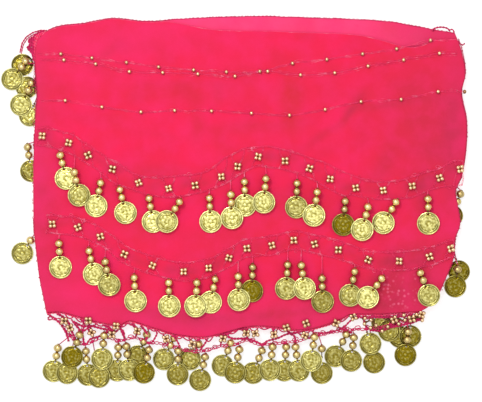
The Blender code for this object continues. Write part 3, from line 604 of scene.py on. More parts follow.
def ball(middle, axis, radius, length, segments, rings, hole):
    """A bead round an axis, with the mouth of its hole at both ends."""
    axis = axis.normalized()
    side, rise = frame_of(axis)
    first = math.asin(hole)
    profile = []
    for ring in range(rings + 1):
        turn = mix(first, math.pi - first, ring / rings)
        profile.append((-length * math.cos(turn), radius * math.sin(turn)))
    mouth = profile[0][0] + 0.35 * length
    profile = [(mouth, radius * hole * 0.8)] + profile + [(-mouth, radius * hole * 0.8)]
    corners, ways = [], turns(segments)
    for along, out in profile:
        corners += [middle + axis * along + side * (out * c) + rise * (out * s) for c, s in ways]
    faces = [(a, d, c, b) for a, b, c, d in bands(len(profile), segments)]
    faces.append(tuple(range(segments)))
    faces.append(tuple((len(profile) - 1) * segments + step for step in reversed(range(segments))))
    return corners, faces


def bead(metal, middle, axis, wide, long, patina, form, kind):
    """A bead with painted shade: bright on top and darker towards its sides."""
    corners, faces = ball(middle, axis, wide, long, *form)
    # Painted shade: towards its sides the bead gets the worn and dark gold, as if less light fell there.
    sides = [clamp(1 - (corner.z - middle.z) / wide) ** 2.2 for corner in corners]
    relief = [0.75 - 0.55 * side for side in sides]
    metal.add(corners, faces, kind, relief=relief, patina=[clamp(patina + 0.65 * side) for side in sides])


def small_bead(metal, middle, axis, radius, patina):
    bead(metal, middle, axis, radius, radius * 0.94, patina, (12, 7, 0.25), 2)


def large_bead(metal, middle, axis, wide, long, patina):
    bead(metal, middle, axis, wide, long, patina, (18, 11, 0.28), 1)


def knot(thread, middle, axis, wide, long, kind=1, rings=5):
    thread.add(*ball(middle, axis, wide, long, 8, rings, 0.2), kind)


def resampled(points, pitch):
    """Even stations along a line of points."""
    lengths = [0.0]
    for first, second in zip(points, points[1:]):
        lengths.append(lengths[-1] + (second - first).length)
    count = max(int(round(lengths[-1] / pitch)), 1)
    made, index = [], 0
    for step in range(count + 1):
        goal = lengths[-1] * step / count
        while index < len(points) - 2 and lengths[index + 1] < goal:
            index += 1
        span = lengths[index + 1] - lengths[index]
        made.append(points[index].lerp(points[index + 1], (goal - lengths[index]) / max(span, 1e-9)))
    return made


def chain(shape, points, pitch=STITCH_PITCH, width=STITCH_WIDTH, thread=STITCH_THREAD):
    """Crochet chain stitches along a line of points."""
    places = resampled(points, pitch)
    for first, second in zip(places, places[1:]):
        way = (second - first).normalized()
        side = way.cross(UP).normalized()
        lean = DRAWS.uniform(-0.35, 0.35)
        swing = DRAWS.uniform(0.85, 1.2) * width
        length = (second - first).length
        ring = []
        for along, across in STITCH_LOOP:
            lift = 0.35 * thread * math.sin(math.pi * along) + lean * across * width
            ring.append(first + way * (along * length) + side * (across * 2 * swing * 0.75) + UP * lift)
        shape.add(*tube(ring, thread, 4, closed=True))


def cord(shape, points, radius, kind=0):
    """Two plies twisted round each other along a line of points."""
    places = resampled(points, 0.9)
    for ply in (0.0, math.pi):
        course = []
        for index, place in enumerate(places):
            way = places[min(index + 1, len(places) - 1)] - places[max(index - 1, 0)]
            side = way.cross(UP).normalized()
            angle = ply + 1.1 * index
            course.append(place + (side * math.cos(angle) + UP * math.sin(angle)) * (0.6 * radius))
        shape.add(*tube(course, 0.62 * radius, 5), kind)


def bent(places, height):
    """Points on a smooth curve through a few places, at a height that depends on the place."""
    made = []
    for index in range(len(places) - 1):
        before, after = places[max(index - 1, 0)], places[min(index + 2, len(places) - 1)]
        first, second = places[index], places[index + 1]
        for step in range(6):
            t = step / 6
            spot = []
            for p0, p1, p2, p3 in zip(before, first, second, after):
                bend = 2 * p0 - 5 * p1 + 4 * p2 - p3
                twist = 3 * p1 - p0 - 3 * p2 + p3
                spot.append(0.5 * (2 * p1 + (p2 - p0) * t + bend * t * t + twist * t ** 3))
            made.append(spot)
    made.append(places[-1])
    return [Vector((x, y, height(x, y))) for x, y in made]


def nearest(table, low, high, shift, x, y):
    """The place on a table's curve that lies nearest to a place."""
    places = [(low + step, smooth(table, low + step) + shift) for step in range(int(high - low) + 1)]
    return min(places, key=lambda place: math.hypot(place[0] - x, place[1] - y))


def line_points(table, low, high, height, shift=0.0, wave=0.0, pitch=2.0, seed=0.0):
    """Points along a table's curve on the cloth, with a small uneven wave."""
    count = max(int((high - low) / pitch), 1)
    made = []
    for index in range(count + 1):
        x = mix(low, high, index / count)
        y = smooth(table, x) + shift + wave * field(x * 0.09, seed, 0.0) * 2
        made.append(Vector((x, y, height(x, y))))
    return made


def coin_relief(face, share, turn):
    """The height of a coin's face, from 0 to 1, at a share of its radius and a turn."""
    figure = turn + face["turn"]
    height = 0.5 + 0.5 * bell(share - 0.96, 0.05) - 0.6 * bell(share - 0.87, 0.035)
    height += 0.4 * bell(share - 0.79, 0.035) - 0.4 * bell(share - 0.71, 0.03)
    if share > 0.72:
        return clamp(height)
    petal = max(math.cos(face["petals"] * figure), 0.0)
    height += 0.4 * petal * bell(share - 0.36, 0.13) + 0.35 * bell(share, 0.1)
    height -= 0.35 * bell(share - 0.2, 0.045)
    if face["leaves"]:
        height += 0.4 * max(math.cos(face["leaves"] * figure + 9 * share), 0.0) * bell(share - 0.6, 0.07)
    else:
        height -= 0.35 * bell(share - 0.55, 0.035)
    uneven = field(share * math.cos(figure) * 6.5, share * math.sin(figure) * 6.5, face["turn"] * 9)
    return clamp(height - 0.05 + 0.7 * uneven)


def coin_form(radius, face):
    """A coin round the origin with its hole towards +X: points, faces and the relief at the points."""
    hole = Vector((radius - HOLE_INSET, 0.0))
    flat = [Vector((0.0, 0.0))]
    for share in COIN_RINGS:
        count = RIM_STEPS if share == 1.0 else max(int(round(62 * share)), 6)
        for way in turns(count):
            spot = Vector(way) * (share * radius)
            if share == 1.0 or (spot - hole).length > HOLE_RADIUS + 0.3:
                flat.append(spot)
    start = len(flat)
    flat += [hole + Vector(way) * HOLE_RADIUS for way in turns(HOLE_STEPS)]
    edges = [(start + step, start + (step + 1) % HOLE_STEPS) for step in range(HOLE_STEPS)]
    spots, _, cells, _, _, _ = geometry.delaunay_2d_cdt(flat, edges, [], 0, 1e-5)
    faces = []
    for cell in cells:
        middle = sum((spots[corner] for corner in cell), Vector((0.0, 0.0))) / len(cell)
        if (middle - hole).length > HOLE_RADIUS * 0.97:
            faces.append(tuple(cell))
    points, relief = [], []
    for side in (1, -1):
        for spot in spots:
            share = spot.length / radius
            height = coin_relief(face, share, side * math.atan2(spot.y, spot.x))
            if share > 0.995:
                height = RIM_HEIGHT
            if (spot - hole).length < HOLE_RADIUS + 0.01:
                height = 0.0
            points.append(Vector((spot.x, spot.y, side * (COIN_HALF + COIN_RELIEF * (height - 0.35)))))
            relief.append(height)
    count = len(spots)
    used = set()
    for cell in faces:
        used.update(zip(cell, cell[1:] + cell[:1]))
    walls = [(b, a, a + count, b + count) for a, b in used if (b, a) not in used]
    faces += [tuple(count + corner for corner in reversed(cell)) for cell in faces]
    return points, faces + walls, relief


def laid_out(row, rest):
    """Where a dangle's beads and coin lie: the beads' middles, the coin's middle and the course in plan."""
    coin = Vector((row["coin_x"], row["coin_y"]))
    course = (coin - Vector((row["bead_x"], row["bead_y"]))).normalized()
    given = math.hypot(row["coin_x"] - row["bead_x"], row["coin_y"] - row["bead_y"])
    least = COIN_RADIUS + BEAD_RADIUS + 0.2 + BEAD_PITCH * (row["beads"] - 1)
    first = coin - course * max(given, least)
    lift = row["level"] * LEVEL_STEP
    height = rest(first.x, first.y, BEAD_RADIUS) + lift + BEAD_RADIUS
    beads = []
    for number in range(row["beads"]):
        spot = first + course * BEAD_PITCH * number
        beads.append(Vector((spot.x, spot.y, height)))
    return beads, Vector((coin.x, coin.y, rest(coin.x, coin.y, COIN_RADIUS) + lift + COIN_LIFT)), course


def dangle(metal, thread, root, row, rest, radius, forms):
    """One dangle: its thread and knots, its beads, and its coin on a small link."""
    beads, coin, course = laid_out(row, rest)
    if not beads:
        course = (coin.xy - Vector(root).xy).normalized()
    ahead = Vector((course.x, course.y, 0.0))
    points, faces, relief = forms[DRAWS.randrange(len(forms))]
    roll = DRAWS.uniform(-0.05, 0.05)
    pitch = DRAWS.uniform(-0.03, 0.03) - (COIN_LEAN if beads else 0.0)
    turn = Matrix.Rotation(math.atan2(-course.y, -course.x), 4, "Z")
    place = Matrix.Translation(coin) @ turn @ Matrix.Rotation(pitch, 4, "Y") @ Matrix.Rotation(roll, 4, "X")
    aging = 0.0 if radius == COIN_RADIUS else FRINGE_AGING
    patina = clamp(row["patina"] + aging + DRAWS.uniform(-0.06, 0.06))
    metal.add([place @ point for point in points], faces, 0, relief=relief, patina=patina)
    hole = place @ Vector((radius - HOLE_INSET, 0.0, 0.0))
    rim = place @ Vector((radius + 0.5, 0.0, 0.0))
    link = [(hole + rim) / 2 + (rim - hole) * (0.5 * c) + UP * (0.75 * s) for c, s in turns(10)]
    thread.add(*tube(link, 0.3, 5, closed=True), 1)
    start = Vector(root)
    mouth_reach = ahead * (BEAD_RADIUS * 0.85)
    for number, middle in enumerate(beads):
        long = BEAD_RADIUS * DRAWS.uniform(0.97, 1.02)
        wide = BEAD_RADIUS * (DRAWS.uniform(1.02, 1.07) if number else DRAWS.uniform(1.08, 1.13))
        large_bead(metal, middle, ahead, wide, long, clamp(0.4 * patina + DRAWS.uniform(-0.1, 0.15)))
        mouth = middle - mouth_reach
        run = [start, (start + mouth) / 2 + UP * 0.25, mouth]
        thread.add(*tube(run, DANGLE_THREAD, 5), 1 if number else 0)
        knot(thread, mouth - ahead * 0.25, ahead, 1.15, 0.75)
        start = middle + mouth_reach
    finish = rim + UP * 0.2
    middle = (start + finish) / 2 + UP * 0.2
    if not beads:
        middle = Vector((start.x + 2.5 * course.x, start.y + 2.5 * course.y, finish.z + 0.1))
    thread.add(*tube([start, middle, finish], DANGLE_THREAD, 5), 1 if beads else 0)
    knot(thread, start.lerp(finish, 0.55 if beads else 0.9), finish - start, 0.95, 0.8)


def flower(metal, thread, x, y, z, wear=0.0):
    """Four small beads round a dark knot."""
    turn = DRAWS.uniform(-0.5, 0.5)
    wide = FLOWER_OFFSET * DRAWS.uniform(0.95, 1.08)
    for corner in range(4):
        angle = turn + math.tau * (corner + 0.5) / 4 + DRAWS.uniform(-0.1, 0.1)
        reach = wide * math.sqrt(2) * DRAWS.uniform(0.92, 1.05)
        spot = Vector((x + reach * math.cos(angle), y + reach * math.sin(angle), z + SMALL_BEAD))
        axis = Vector((-math.sin(angle), math.cos(angle), DRAWS.uniform(-0.3, 0.3)))
        small_bead(metal, spot, axis, SMALL_BEAD, wear + DRAWS.uniform(0.0, 0.2))
    knot(thread, Vector((x, y, z + 0.9)), UP, 0.8, 0.7)


def picot(thread, x, y, z, radius, turn, yarn=STITCH_THREAD, kind=0):
    """A little open loop of crochet beside a chain."""
    ring = []
    for c, s in turns(12):
        along, across = radius * c, 0.6 * radius * s
        ring.append(Vector((
            x + along * math.cos(turn) - across * math.sin(turn),
            y + along * math.sin(turn) + across * math.cos(turn), z + 0.3 * c * s,
        )))
    thread.add(*tube(ring, yarn, 4, closed=True), kind)


def coin_row(name, flowers, top_chain, low_chain, dangles):
    """A coin row on the front stretch: two chains with bead flowers between them, loops, and the dangles."""
    metal, thread = Shape("relief", "patina"), Shape()
    low, high = flowers[1][0] - 5.0, flowers[-1][0] + 1.5

    def lying(x, y):
        return rest_height(x, y, 2.0) + 0.1

    for (table, shift), seed in ((top_chain, 1.0), (low_chain, 5.0)):
        chain(thread, line_points(table, low, high, lying, shift, 0.7, 2.0, seed))
        shift += DRAWS.uniform(-0.6, 0.6)
        course = line_points(table, low + 3, high - 3, lying, shift, 1.3, 2.5, seed + 9)
        thread.add(*tube(course, LINE_THREAD))
    for x, y in flowers[1:]:
        flower(metal, thread, x, y, rest_height(x, y, 2.0))
        for (table, shift), side in ((top_chain, 1), (low_chain, -1)):
            for lean in (-4.5, 4.5):
                far = clamp(x + lean + DRAWS.uniform(-1.0, 1.0), low, high)
                goal = Vector((far, smooth(table, far) + shift, 0.0))
                goal.z = lying(goal.x, goal.y)
                start = Vector((x + 0.35 * lean, y + side * 1.8, lying(x, y)))
                bow = (start + goal) / 2 + Vector((lean * 0.25, 0.0, 0.0))
                bow.z = lying(bow.x, bow.y)
                chain(thread, [start, bow, goal], 2.0, 0.6, 0.17)
    x = low + 6.0
    while x < high - 4.0:
        table, shift = DRAWS.choice((top_chain, low_chain))
        y = smooth(table, x) + shift + DRAWS.uniform(-1.8, 1.8)
        picot(thread, x, y, lying(x, y), DRAWS.uniform(1.2, 2.0), DRAWS.uniform(-0.6, 0.6))
        x += DRAWS.uniform(7.0, 15.0)
    forms = [coin_form(COIN_RADIUS, face) for face in rows(COIN_FACES)]
    for row in rows(dangles):
        x = row["bead_x"]
        y = smooth(low_chain[0], x) + low_chain[1]
        dangle(metal, thread, (x, y, lying(x, y)), row, rest_height, COIN_RADIUS, forms)
    return finish_trim(name, metal, thread, "gold_trim", "front_chiffon")


def finish_trim(name, metal, thread, metal_slot, thread_slot, yarns=("thread", "knot")):
    coins = metal.make(name + "_coins_and_beads", GOLDS, metal_slot, [name], 38)
    return [coins, thread.make(name + "_crochet", yarns, thread_slot, [name])]


def fringe():
    """The net along the bottom side, with the dangles that hang from it and lie on the surface."""
    metal, thread = Shape("relief", "patina"), Shape()
    low, high = NET_CHAIN[1][0], NET_CHAIN[-1][0] - 4.0

    def hem(x, y):
        return HEM_HEIGHT + 0.5

    def net(x, y):
        foot, top = smooth(NET_CHAIN, x), smooth(BOTTOM_SIDE, x) - 1.0
        above = clamp((y - foot) / max(top - foot, 1.0))
        return mix(NET_HEIGHT, HEM_HEIGHT + 0.4, above) + 0.25 * math.sin(x * 0.21 + y)

    cord(thread, line_points(BOTTOM_SIDE, low + 0.5, high + 2.0, hem, -0.3, 0.4, 2.0, 3.0), 0.7, 2)
    chain(thread, line_points(NET_CHAIN, low + 1.0, high, net, 0.0, 0.8, 2.0, 4.0), 3.4, 1.2, 0.52)
    for places in NET_CORDS:
        cord(thread, bent(places, net), NET_CORD * DRAWS.uniform(0.8, 1.1))
    # Dark cords: partly real thread, partly painted shade among the beads of the tangle.
    for places in DARK_CORDS_AND_SHADE:
        cord(thread, bent(places, net), 0.75, 1)
    x = low + 1.0
    while x < high - 4.0:
        wide, deep = DRAWS.uniform(4.0, 9.0), DRAWS.uniform(1.6, 3.4)
        if DRAWS.random() < 0.75 and not 104.0 < x < 122.0:
            arch = []
            for step in range(9):
                across = x + wide * step / 8
                drop = 0.5 + deep * math.sin(math.pi * step / 8)
                arch.append(Vector((across, smooth(BOTTOM_SIDE, across) - drop, HEM_HEIGHT + 0.2)))
            thread.add(*tube(arch, 0.6, 5))
        x += wide + DRAWS.uniform(-0.5, 3.0)
    for x, y in NET_FLOWERS[1:]:
        over_cloth = y > smooth(BOTTOM_SIDE, x) - 1.0
        z = rest_height(x, y, 2.0) if over_cloth else NET_HEIGHT + 0.75
        flower(metal, thread, x, y, z, FRINGE_AGING)
    for x, y in NET_BEADS[1:]:
        spot = Vector((x, y, net(x, y) + SMALL_BEAD))
        small_bead(metal, spot, Vector((1.0, DRAWS.uniform(-0.6, 0.6), 0.0)), SMALL_BEAD, 0.2)
        knot(thread, spot - UP * 1.1, UP, 1.1, 0.7)
    x = low + 3.0
    while x < high - 2.0:
        y = smooth(NET_CHAIN, x) + DRAWS.uniform(-1.2, 1.6)
        picot(thread, x, y, net(x, y), DRAWS.uniform(1.5, 2.4), DRAWS.uniform(-0.7, 0.7), 0.5)
        x += DRAWS.uniform(6.0, 11.0)
    forms = [coin_form(FRINGE_COIN_RADIUS, face) for face in rows(COIN_FACES)]
    for row in rows(FRINGE_DANGLES):
        x, y = row["bead_x"], row["bead_y"]
        table, shift = NET_CHAIN, 0.0
        if y >= smooth(NET_CHAIN, x) - BEAD_RADIUS:
            table, shift = BOTTOM_SIDE, -1.2
        x, y = nearest(table, low + 4.0, high, shift, x, y)
        root = (x, y, net(x, y))
        knot(thread, Vector(root), Vector((1.0, 0.3, 0.0)), 1.2, 1.7, 0)
        dangle(metal, thread, root, row, floor_height, FRINGE_COIN_RADIUS, forms)
    return finish_trim("fringe", metal, thread, "fringe_gold", "front_chiffon", ("net", "knot", "thread"))


def side_dangles(group):
    """A group of dangles that sticks out past a fold, on a short length of crochet."""
    side, out = (LEFT_SIDE, -1.0) if group["side"] == "left" else (RIGHT_SIDE, 1.0)
    low, high = group["from_y"], group["to_y"]
    metal, thread = Shape("relief", "patina"), Shape()
    count = max(int((high - low) / 2.0), 2)
    places = [mix(low, high, index / count) for index in range(count + 1)]
    cord(thread, [Vector((smooth(side, y) + out * 0.1, y, SIDE_HEIGHT)) for y in places], 0.5)
    forms = [coin_form(FRINGE_COIN_RADIUS, face) for face in rows(COIN_FACES)]
    for row in rows(group["dangles"]):
        y = clamp(row["bead_y"] + 4.0, low + 1.0, high - 1.0)
        root = (smooth(side, y) + out * SEAM_GAP, y, SIDE_HEIGHT)
        dangle(metal, thread, root, row, floor_height, FRINGE_COIN_RADIUS, forms)
    return finish_trim(group["name"], metal, thread, "fringe_gold", "folded_chiffon", ("net", "knot"))


def bead_lines():
    """The three thin crochet lines with single beads near the top of the front stretch."""
    metal, thread = Shape("relief", "patina"), Shape()

    def lying(x, y):
        return front_top(x, y) + 0.3

    for table, strands, seed in ((LINE_A, 2, 2.0), (LINE_B, 3, 12.0), (LINE_C, 2, 22.0)):
        low, high = table[1][0] - 19.0, min(table[-1][0] + 14.0, 183.0)
        for strand in range(strands):
            shift = (strand - (strands - 1) / 2) * 1.5
            course = line_points(table, low, high, lying, shift, 1.1, 2.2, seed + 3 * strand)
            thread.add(*tube(course, LINE_THREAD))
        chain(thread, line_points(table, low, high, lying, 0.0, 0.4, 2.0, seed), width=0.5, thread=0.17)
        for x, y in table[1:]:
            z = lying(x, y) + 0.2
            axis = Vector((1.0, DRAWS.uniform(-0.4, 0.4), 0.0))
            patina = 0.95 if x > 180.0 else 0.25 if table is LINE_A else 0.0
            small_bead(metal, Vector((x, y, z + LINE_BEAD)), axis, LINE_BEAD, patina)
            knot(thread, Vector((x, y - 0.5, z + 0.2)), UP, 1.3, 0.5, rings=4)
    for spot in SIDE_BEADS[1:]:
        large_bead(metal, Vector(spot), Vector((0.6, 0.8, 0.0)), BEAD_RADIUS, BEAD_RADIUS, 0.3)
    beads = metal.make("line_beads", GOLDS, "gold_trim")
    return [beads, thread.make("line_crochet", ("thread", "knot"), "front_chiffon")]


def stations(length, cells):
    """Places from 0 to 1 along a length, close together at both ends."""
    first = [inset / length for inset in CLOTH_ENDS]
    even = [mix(first[-1], 1 - first[-1], cell / cells) for cell in range(1, cells)]
    return first + even + [1 - place for place in reversed(first)]


def cloth(name, point, top, thickness, cells, tones, edge_round, surface, slot, node):
    """A thin closed shell over the bed, rounded at its edges, with its tones at the points."""
    across, along = stations(ACROSS, cells[0]), stations(ALONG, cells[1])
    uppers, lowers, shades = [], [], []
    for v in along:
        for u in across:
            x, y = point(u, v)
            soft = rounding(edge_distance(u, v) / edge_round)
            height = top(x, y) - 0.5 * thickness * soft
            uppers.append(Vector((x, y, height)))
            lowers.append(Vector((x, y, height - thickness * (1 - 0.8 * soft))))
            shades.append(tones(x, y, u, v))
    wide, tall = len(across), len(along)
    faces = []
    for row in range(tall - 1):
        for first in range(row * wide, row * wide + wide - 1):
            faces.append((first, first + 1, first + wide + 1, first + wide))
    count = wide * tall
    faces += [tuple(count + corner for corner in reversed(face)) for face in faces]
    ring = list(range(wide)) + [row * wide + wide - 1 for row in range(1, tall)]
    ring += [(tall - 1) * wide + column for column in range(wide - 2, -1, -1)]
    ring += [row * wide for row in range(tall - 2, 0, -1)]
    for first, second in zip(ring, ring[1:] + ring[:1]):
        faces.append((first, first + count, second + count, second))
    shape = Shape(*TONES)
    columns = [list(column) * 2 for column in zip(*shades)]
    shape.add(uppers + lowers, faces, **dict(zip(TONES, columns)))
    return shape.make(name, [surface], slot, [node])


def crease(x, y):
    """The creases of the front stretch at a place."""
    height = 0.0
    for fold in CREASE_ROWS:
        run = Vector((fold["x1"] - fold["x0"], fold["y1"] - fold["y0"]))
        way = run / run.length
        offset = Vector((x - fold["x0"], y - fold["y0"]))
        along = offset.dot(way) / run.length
        if not -0.15 < along < 1.15:
            continue
        bow = fold["bow"] * 4 * along * (1 - along)
        across = offset.y * way.x - offset.x * way.y - bow
        if abs(across) < 3 * fold["wide"]:
            fade = clamp(min(along + 0.15, 1.15 - along) / 0.3)
            height += fold["rise"] * fade * fade * (3 - 2 * fade) * bell(across, fold["wide"])
    return height


def pucker(x, y):
    """How the sewn lines draw the cloth in: a shallow trough with small gathers along it."""
    height = 0.0
    for table, depth, width, pitch in (
        (LINE_B, 0.3, 3.0, 9.0), (LINE_C, 0.2, 2.5, 11.0), (UPPER_TOP_CHAIN, 0.25, 3.0, 8.0),
        (UPPER_LOW_CHAIN, 0.25, 3.0, 10.0), (LOWER_FLOWERS, 0.3, 8.0, 9.0),
    ):
        away = abs(y - smooth(table, x))
        if away < 4 * width:
            gather = 0.6 * field(x / pitch, away * 0.05, depth * 40)
            height += (gather - 1.0) * depth * bell(away, width) * 0.6
            height += 0.8 * gather * depth * bell(away, 2.2 * width)
    return height


def front_cloth():
    side, end = EDGE_INSET / ACROSS, EDGE_INSET / ALONG

    def point(u, v):
        across = mix(side, 1 - side, u)
        return bed_point(across, mix(end, front_top_v(across), v))

    def top(x, y):
        fine = 0.25 * field(x * 0.05, y * 0.05, 3.0) + 0.1 * field(x * 0.16, y * 0.16, 7.0)
        return front_top(x, y) + 0.15 + crease(x, y) + pucker(x, y) + fine

    def tones(x, y, u, v):
        red, magenta, dim = patches(SHADE_ROWS, x, y, "red", "magenta", "dim")
        for table in (UPPER_FLOWERS, LOWER_FLOWERS):
            near = bell(y - smooth(table, x), 8.0)
            red += 0.25 * near
            dim += 0.65 * near * clamp(0.35 + field(x * 0.09, y * 0.12, 21.0))
        red += 0.2 * bell(y - smooth(LINE_B, x) - 2.0, 5.0)
        drift = field(x * 0.02, y * 0.02, 1.0)
        patch = field(x * 0.045, y * 0.06, 31.0)
        magenta += 0.45 * clamp(patch)
        dim += 0.3 * clamp(0.1 - patch)
        under = sum(bell(math.hypot(x - spot[0], y - spot[1]), spot[2]) for spot in UNDER_BEADS[1:])
        return clamp(red + 0.15 * drift), clamp(magenta + 0.1 * drift), clamp(dim), clamp(under)

    return cloth(
        "front_cloth", point, top, CHIFFON, (128, 92), tones, 1.6, "chiffon", "front_chiffon", "front_layer",
    )


def back_cloth():
    def top(x, y):
        _, v = bed_uv(x, y)
        fine = 0.18 * field(x * 0.06, y * 0.06, 13.0)
        hem = 0.35 * field(x * 0.11, 0.0, 17.0) * bell((1 - v) * ALONG, 8.0)
        return back_top(x, y) - 0.1 + fine + hem

    def tones(x, y, u, v):
        band = 0.25 + 0.2 * field(x * 0.03, y * 0.05, 5.0)
        side = bell(u * ACROSS, 14.0) + bell((1 - u) * ACROSS, 52.0)
        return 0.0, clamp(0.4 * side), clamp(0.6 * side + 0.15 * band), 0.0

    return cloth(
        "back_cloth", bed_point, top, CHIFFON, (110, 60), tones, 1.6, "band", "back_chiffon", "back_layer",
    )


def hidden_cloth(number, leaf):
    """One of the leaves below, whose edges lie unevenly on each other."""
    def point(u, v):
        side, end = leaf["inset"] / ACROSS, leaf["inset"] / ALONG
        x, y = bed_point(mix(side, 1 - side, u), mix(end, 1 - end, v))
        uneven = 0.9 * field(x * 0.035, y * 0.035, leaf["seed"])
        return x + uneven * (0.5 - u), y + uneven * (0.5 - v)

    def top(x, y):
        high = stack_height(x, y) - 0.1 if leaf["high"] == HIDDEN_LEAVES[-1][2] else leaf["high"]
        return high + 0.12 * field(x * 0.05, y * 0.05, leaf["seed"])

    def tones(x, y, u, v):
        return 0.2, 0.4, 0.3, 0.0

    return cloth(
        f"hidden_cloth_{number}", point, top, leaf["high"] - leaf["low"], (70, 48), tones, 2.2,
        "hidden", "folded_chiffon", "folded_layers",
    )


def edge_threads():
    """Rolled hems on the top edges, loose crochet ends on the left fold, and the two loose loops above."""
    thread = Shape()

    def back_edge(x, y):
        return back_top(x, y) - 0.2

    thread.add(*tube(line_points(TOP_SIDE, -150.0, 174.5, back_edge, -0.3, 0.25, 2.2, 30.0), 0.38, 5), 2)
    x = -146.0
    while x < 173.0:
        y = smooth(TOP_SIDE, x)
        picot(thread, x, y - 0.1, back_edge(x, y - 0.5), DRAWS.uniform(0.5, 0.9), 0.0, 0.22, 2)
        x += DRAWS.uniform(1.6, 4.0)
    side, course = EDGE_INSET / ACROSS, []
    for step in range(150):
        u = mix(side, 1 - side, step / 149)
        x, y = bed_point(u, front_top_v(u))
        course.append(Vector((x, y - 0.1, front_top(x, y) + 0.05)))
    thread.add(*tube(course, 0.2, 5))
    for table, out, low, high, reach in (
        (LEFT_SIDE, -1.0, 62.0, 132.0, 1.9), (LEFT_SIDE, -1.0, -84.0, 60.0, 0.9),
        (RIGHT_SIDE, 1.0, -80.0, 134.0, 0.7),
    ):
        y = low
        while y < high:
            size = DRAWS.uniform(0.4, 1.0) * reach
            x = smooth(table, y) + out * DRAWS.uniform(-0.2, 0.5) * reach
            picot(thread, x, y, 6.0, size, math.pi / 2 + DRAWS.uniform(-0.6, 0.6), 0.26, 2)
            y += DRAWS.uniform(1.2, 3.6) * (1.0 if reach > 1.0 else 2.0)
    for row in rows(LOOSE_CORDS):
        shift = Vector(row["shift"])
        cord(thread, [Vector(place) + shift for place in row["places"]], row["radius"], row["kind"])
    loop = []
    for step in range(17):
        angle = math.pi * step / 16
        loop.append(Vector((164.3 - 6.8 * math.cos(angle), 138.0 + 3.0 * math.sin(angle), 8.2)))
    cord(thread, loop, 0.7, 2)
    edge = [Vector((smooth(RIGHT_SIDE, y) + 0.1, y, 6.0)) for y in range(18, 134, 2)]
    thread.add(*tube(edge, 0.35, 5), 2)
    return thread.make("edge_threads", ("thread", "knot", "net"), "back_chiffon")


def paint(red, green, blue):
    """A colour from its 0 to 255 screen values."""
    made = []
    for value in (red, green, blue):
        share = value / 255
        made.append(share / 12.92 if share <= 0.04045 else ((share + 0.055) / 1.055) ** 2.4)
    return (*made, 1.0)


class Surface:
    """A material with its shader, and short ways to add nodes to it."""

    def __init__(self, name, **values):
        self.material = bpy.data.materials.new(name)
        self.material.use_nodes = True
        self.tree = self.material.node_tree
        self.shader = self.tree.nodes["Principled BSDF"]
        self.place = self.node("ShaderNodeTexCoord").outputs["Object"]
        self.set(**values)

    def feed(self, node, values):
        """Gives a node's inputs their values, each a constant or another node's output."""
        for name, value in values.items():
            if isinstance(value, bpy.types.NodeSocket):
                self.tree.links.new(value, node.inputs[name])
            else:
                node.inputs[name].default_value = value

    def node(self, kind, inputs=(), **settings):
        made = self.tree.nodes.new(kind)
        for name, value in settings.items():
            setattr(made, name, value)
        self.feed(made, dict(inputs))
        return made

    def set(self, **values):
        self.feed(self.shader, {name.replace("_", " "): value for name, value in values.items()})

    def attribute(self, name):
        return self.node("ShaderNodeAttribute", attribute_name=name).outputs["Fac"]

    def noise(self, scale, detail):
        inputs = {"Vector": self.place, "Scale": scale, "Detail": detail, "Roughness": 0.55}
        return self.node("ShaderNodeTexNoise", inputs).outputs["Fac"]

    def dots(self, scale):
        inputs = {"Vector": self.place, "Scale": scale, "Randomness": 0.9}
        return self.node("ShaderNodeTexVoronoi", inputs).outputs["Distance"]

    def wave(self, scale, direction, distortion):
        inputs = {"Vector": self.place, "Scale": scale, "Distortion": distortion}
        return self.node("ShaderNodeTexWave", inputs, bands_direction=direction).outputs["Fac"]

    def spread(self, source, low, high, to_low=0.0, to_high=1.0):
        ends = {"Value": source, "From Min": low, "From Max": high, "To Min": to_low, "To Max": to_high}
        return self.node("ShaderNodeMapRange", ends).outputs["Result"]

    def blend(self, share, first, second):
        """Mixes two colours, each a colour value or an output."""
        return self.node("ShaderNodeMix", {0: share, 6: first, 7: second}, data_type="RGBA").outputs[2]

    def product(self, first, second):
        return self.node("ShaderNodeMath", {0: first, 1: second}, operation="MULTIPLY").outputs[0]

    def total(self, first, second):
        return self.node("ShaderNodeMath", {0: first, 1: second}, operation="ADD").outputs[0]

    def bump(self, source, distance, strength):
        inputs = {"Height": source, "Distance": distance, "Strength": strength}
        self.set(Normal=self.node("ShaderNodeBump", inputs).outputs["Normal"])


def chiffon_surface(name, base):
    """Chiffon: a crinkled plain weave, with the layers below showing through as soft tones."""
    look = Surface(name, Sheen_Weight=0.08, Sheen_Roughness=0.5, Sheen_Tint=paint(255, 150, 190))
    red, magenta, dim = paint(210, 40, 52), paint(232, 44, 106), paint(184, 42, 72)
    tone = look.blend(look.attribute("red"), paint(*base), red)
    tone = look.blend(look.attribute("magenta"), tone, magenta)
    tone = look.blend(look.attribute("dim"), tone, dim)
    tone = look.blend(look.spread(look.noise(28.0, 4.0), 0.38, 0.68, 0.0, 0.3), tone, red)
    tone = look.blend(look.spread(look.noise(75.0, 4.0), 0.42, 0.66, 0.0, 0.3), tone, magenta)
    dots = look.spread(look.dots(290.0), 0.1, 0.4, 0.5, 0.0)
    tone = look.blend(look.product(dots, look.attribute("under")), tone, paint(255, 130, 165))
    crinkle = look.noise(900.0, 2.0)
    weave = look.product(look.total(look.wave(420.0, "X", 1.5), look.wave(420.0, "Y", 1.5)), 0.5)
    grain = look.total(look.product(weave, 0.5), look.product(crinkle, 0.5))
    tone = look.blend(look.spread(grain, 0.25, 0.75, 0.0, 0.12), tone, dim)
    look.set(Base_Color=tone, Roughness=look.spread(crinkle, 0.3, 0.7, 0.78, 0.92), Specular_IOR_Level=0.12)
    look.bump(grain, 0.0002, 0.6)
    return look.material


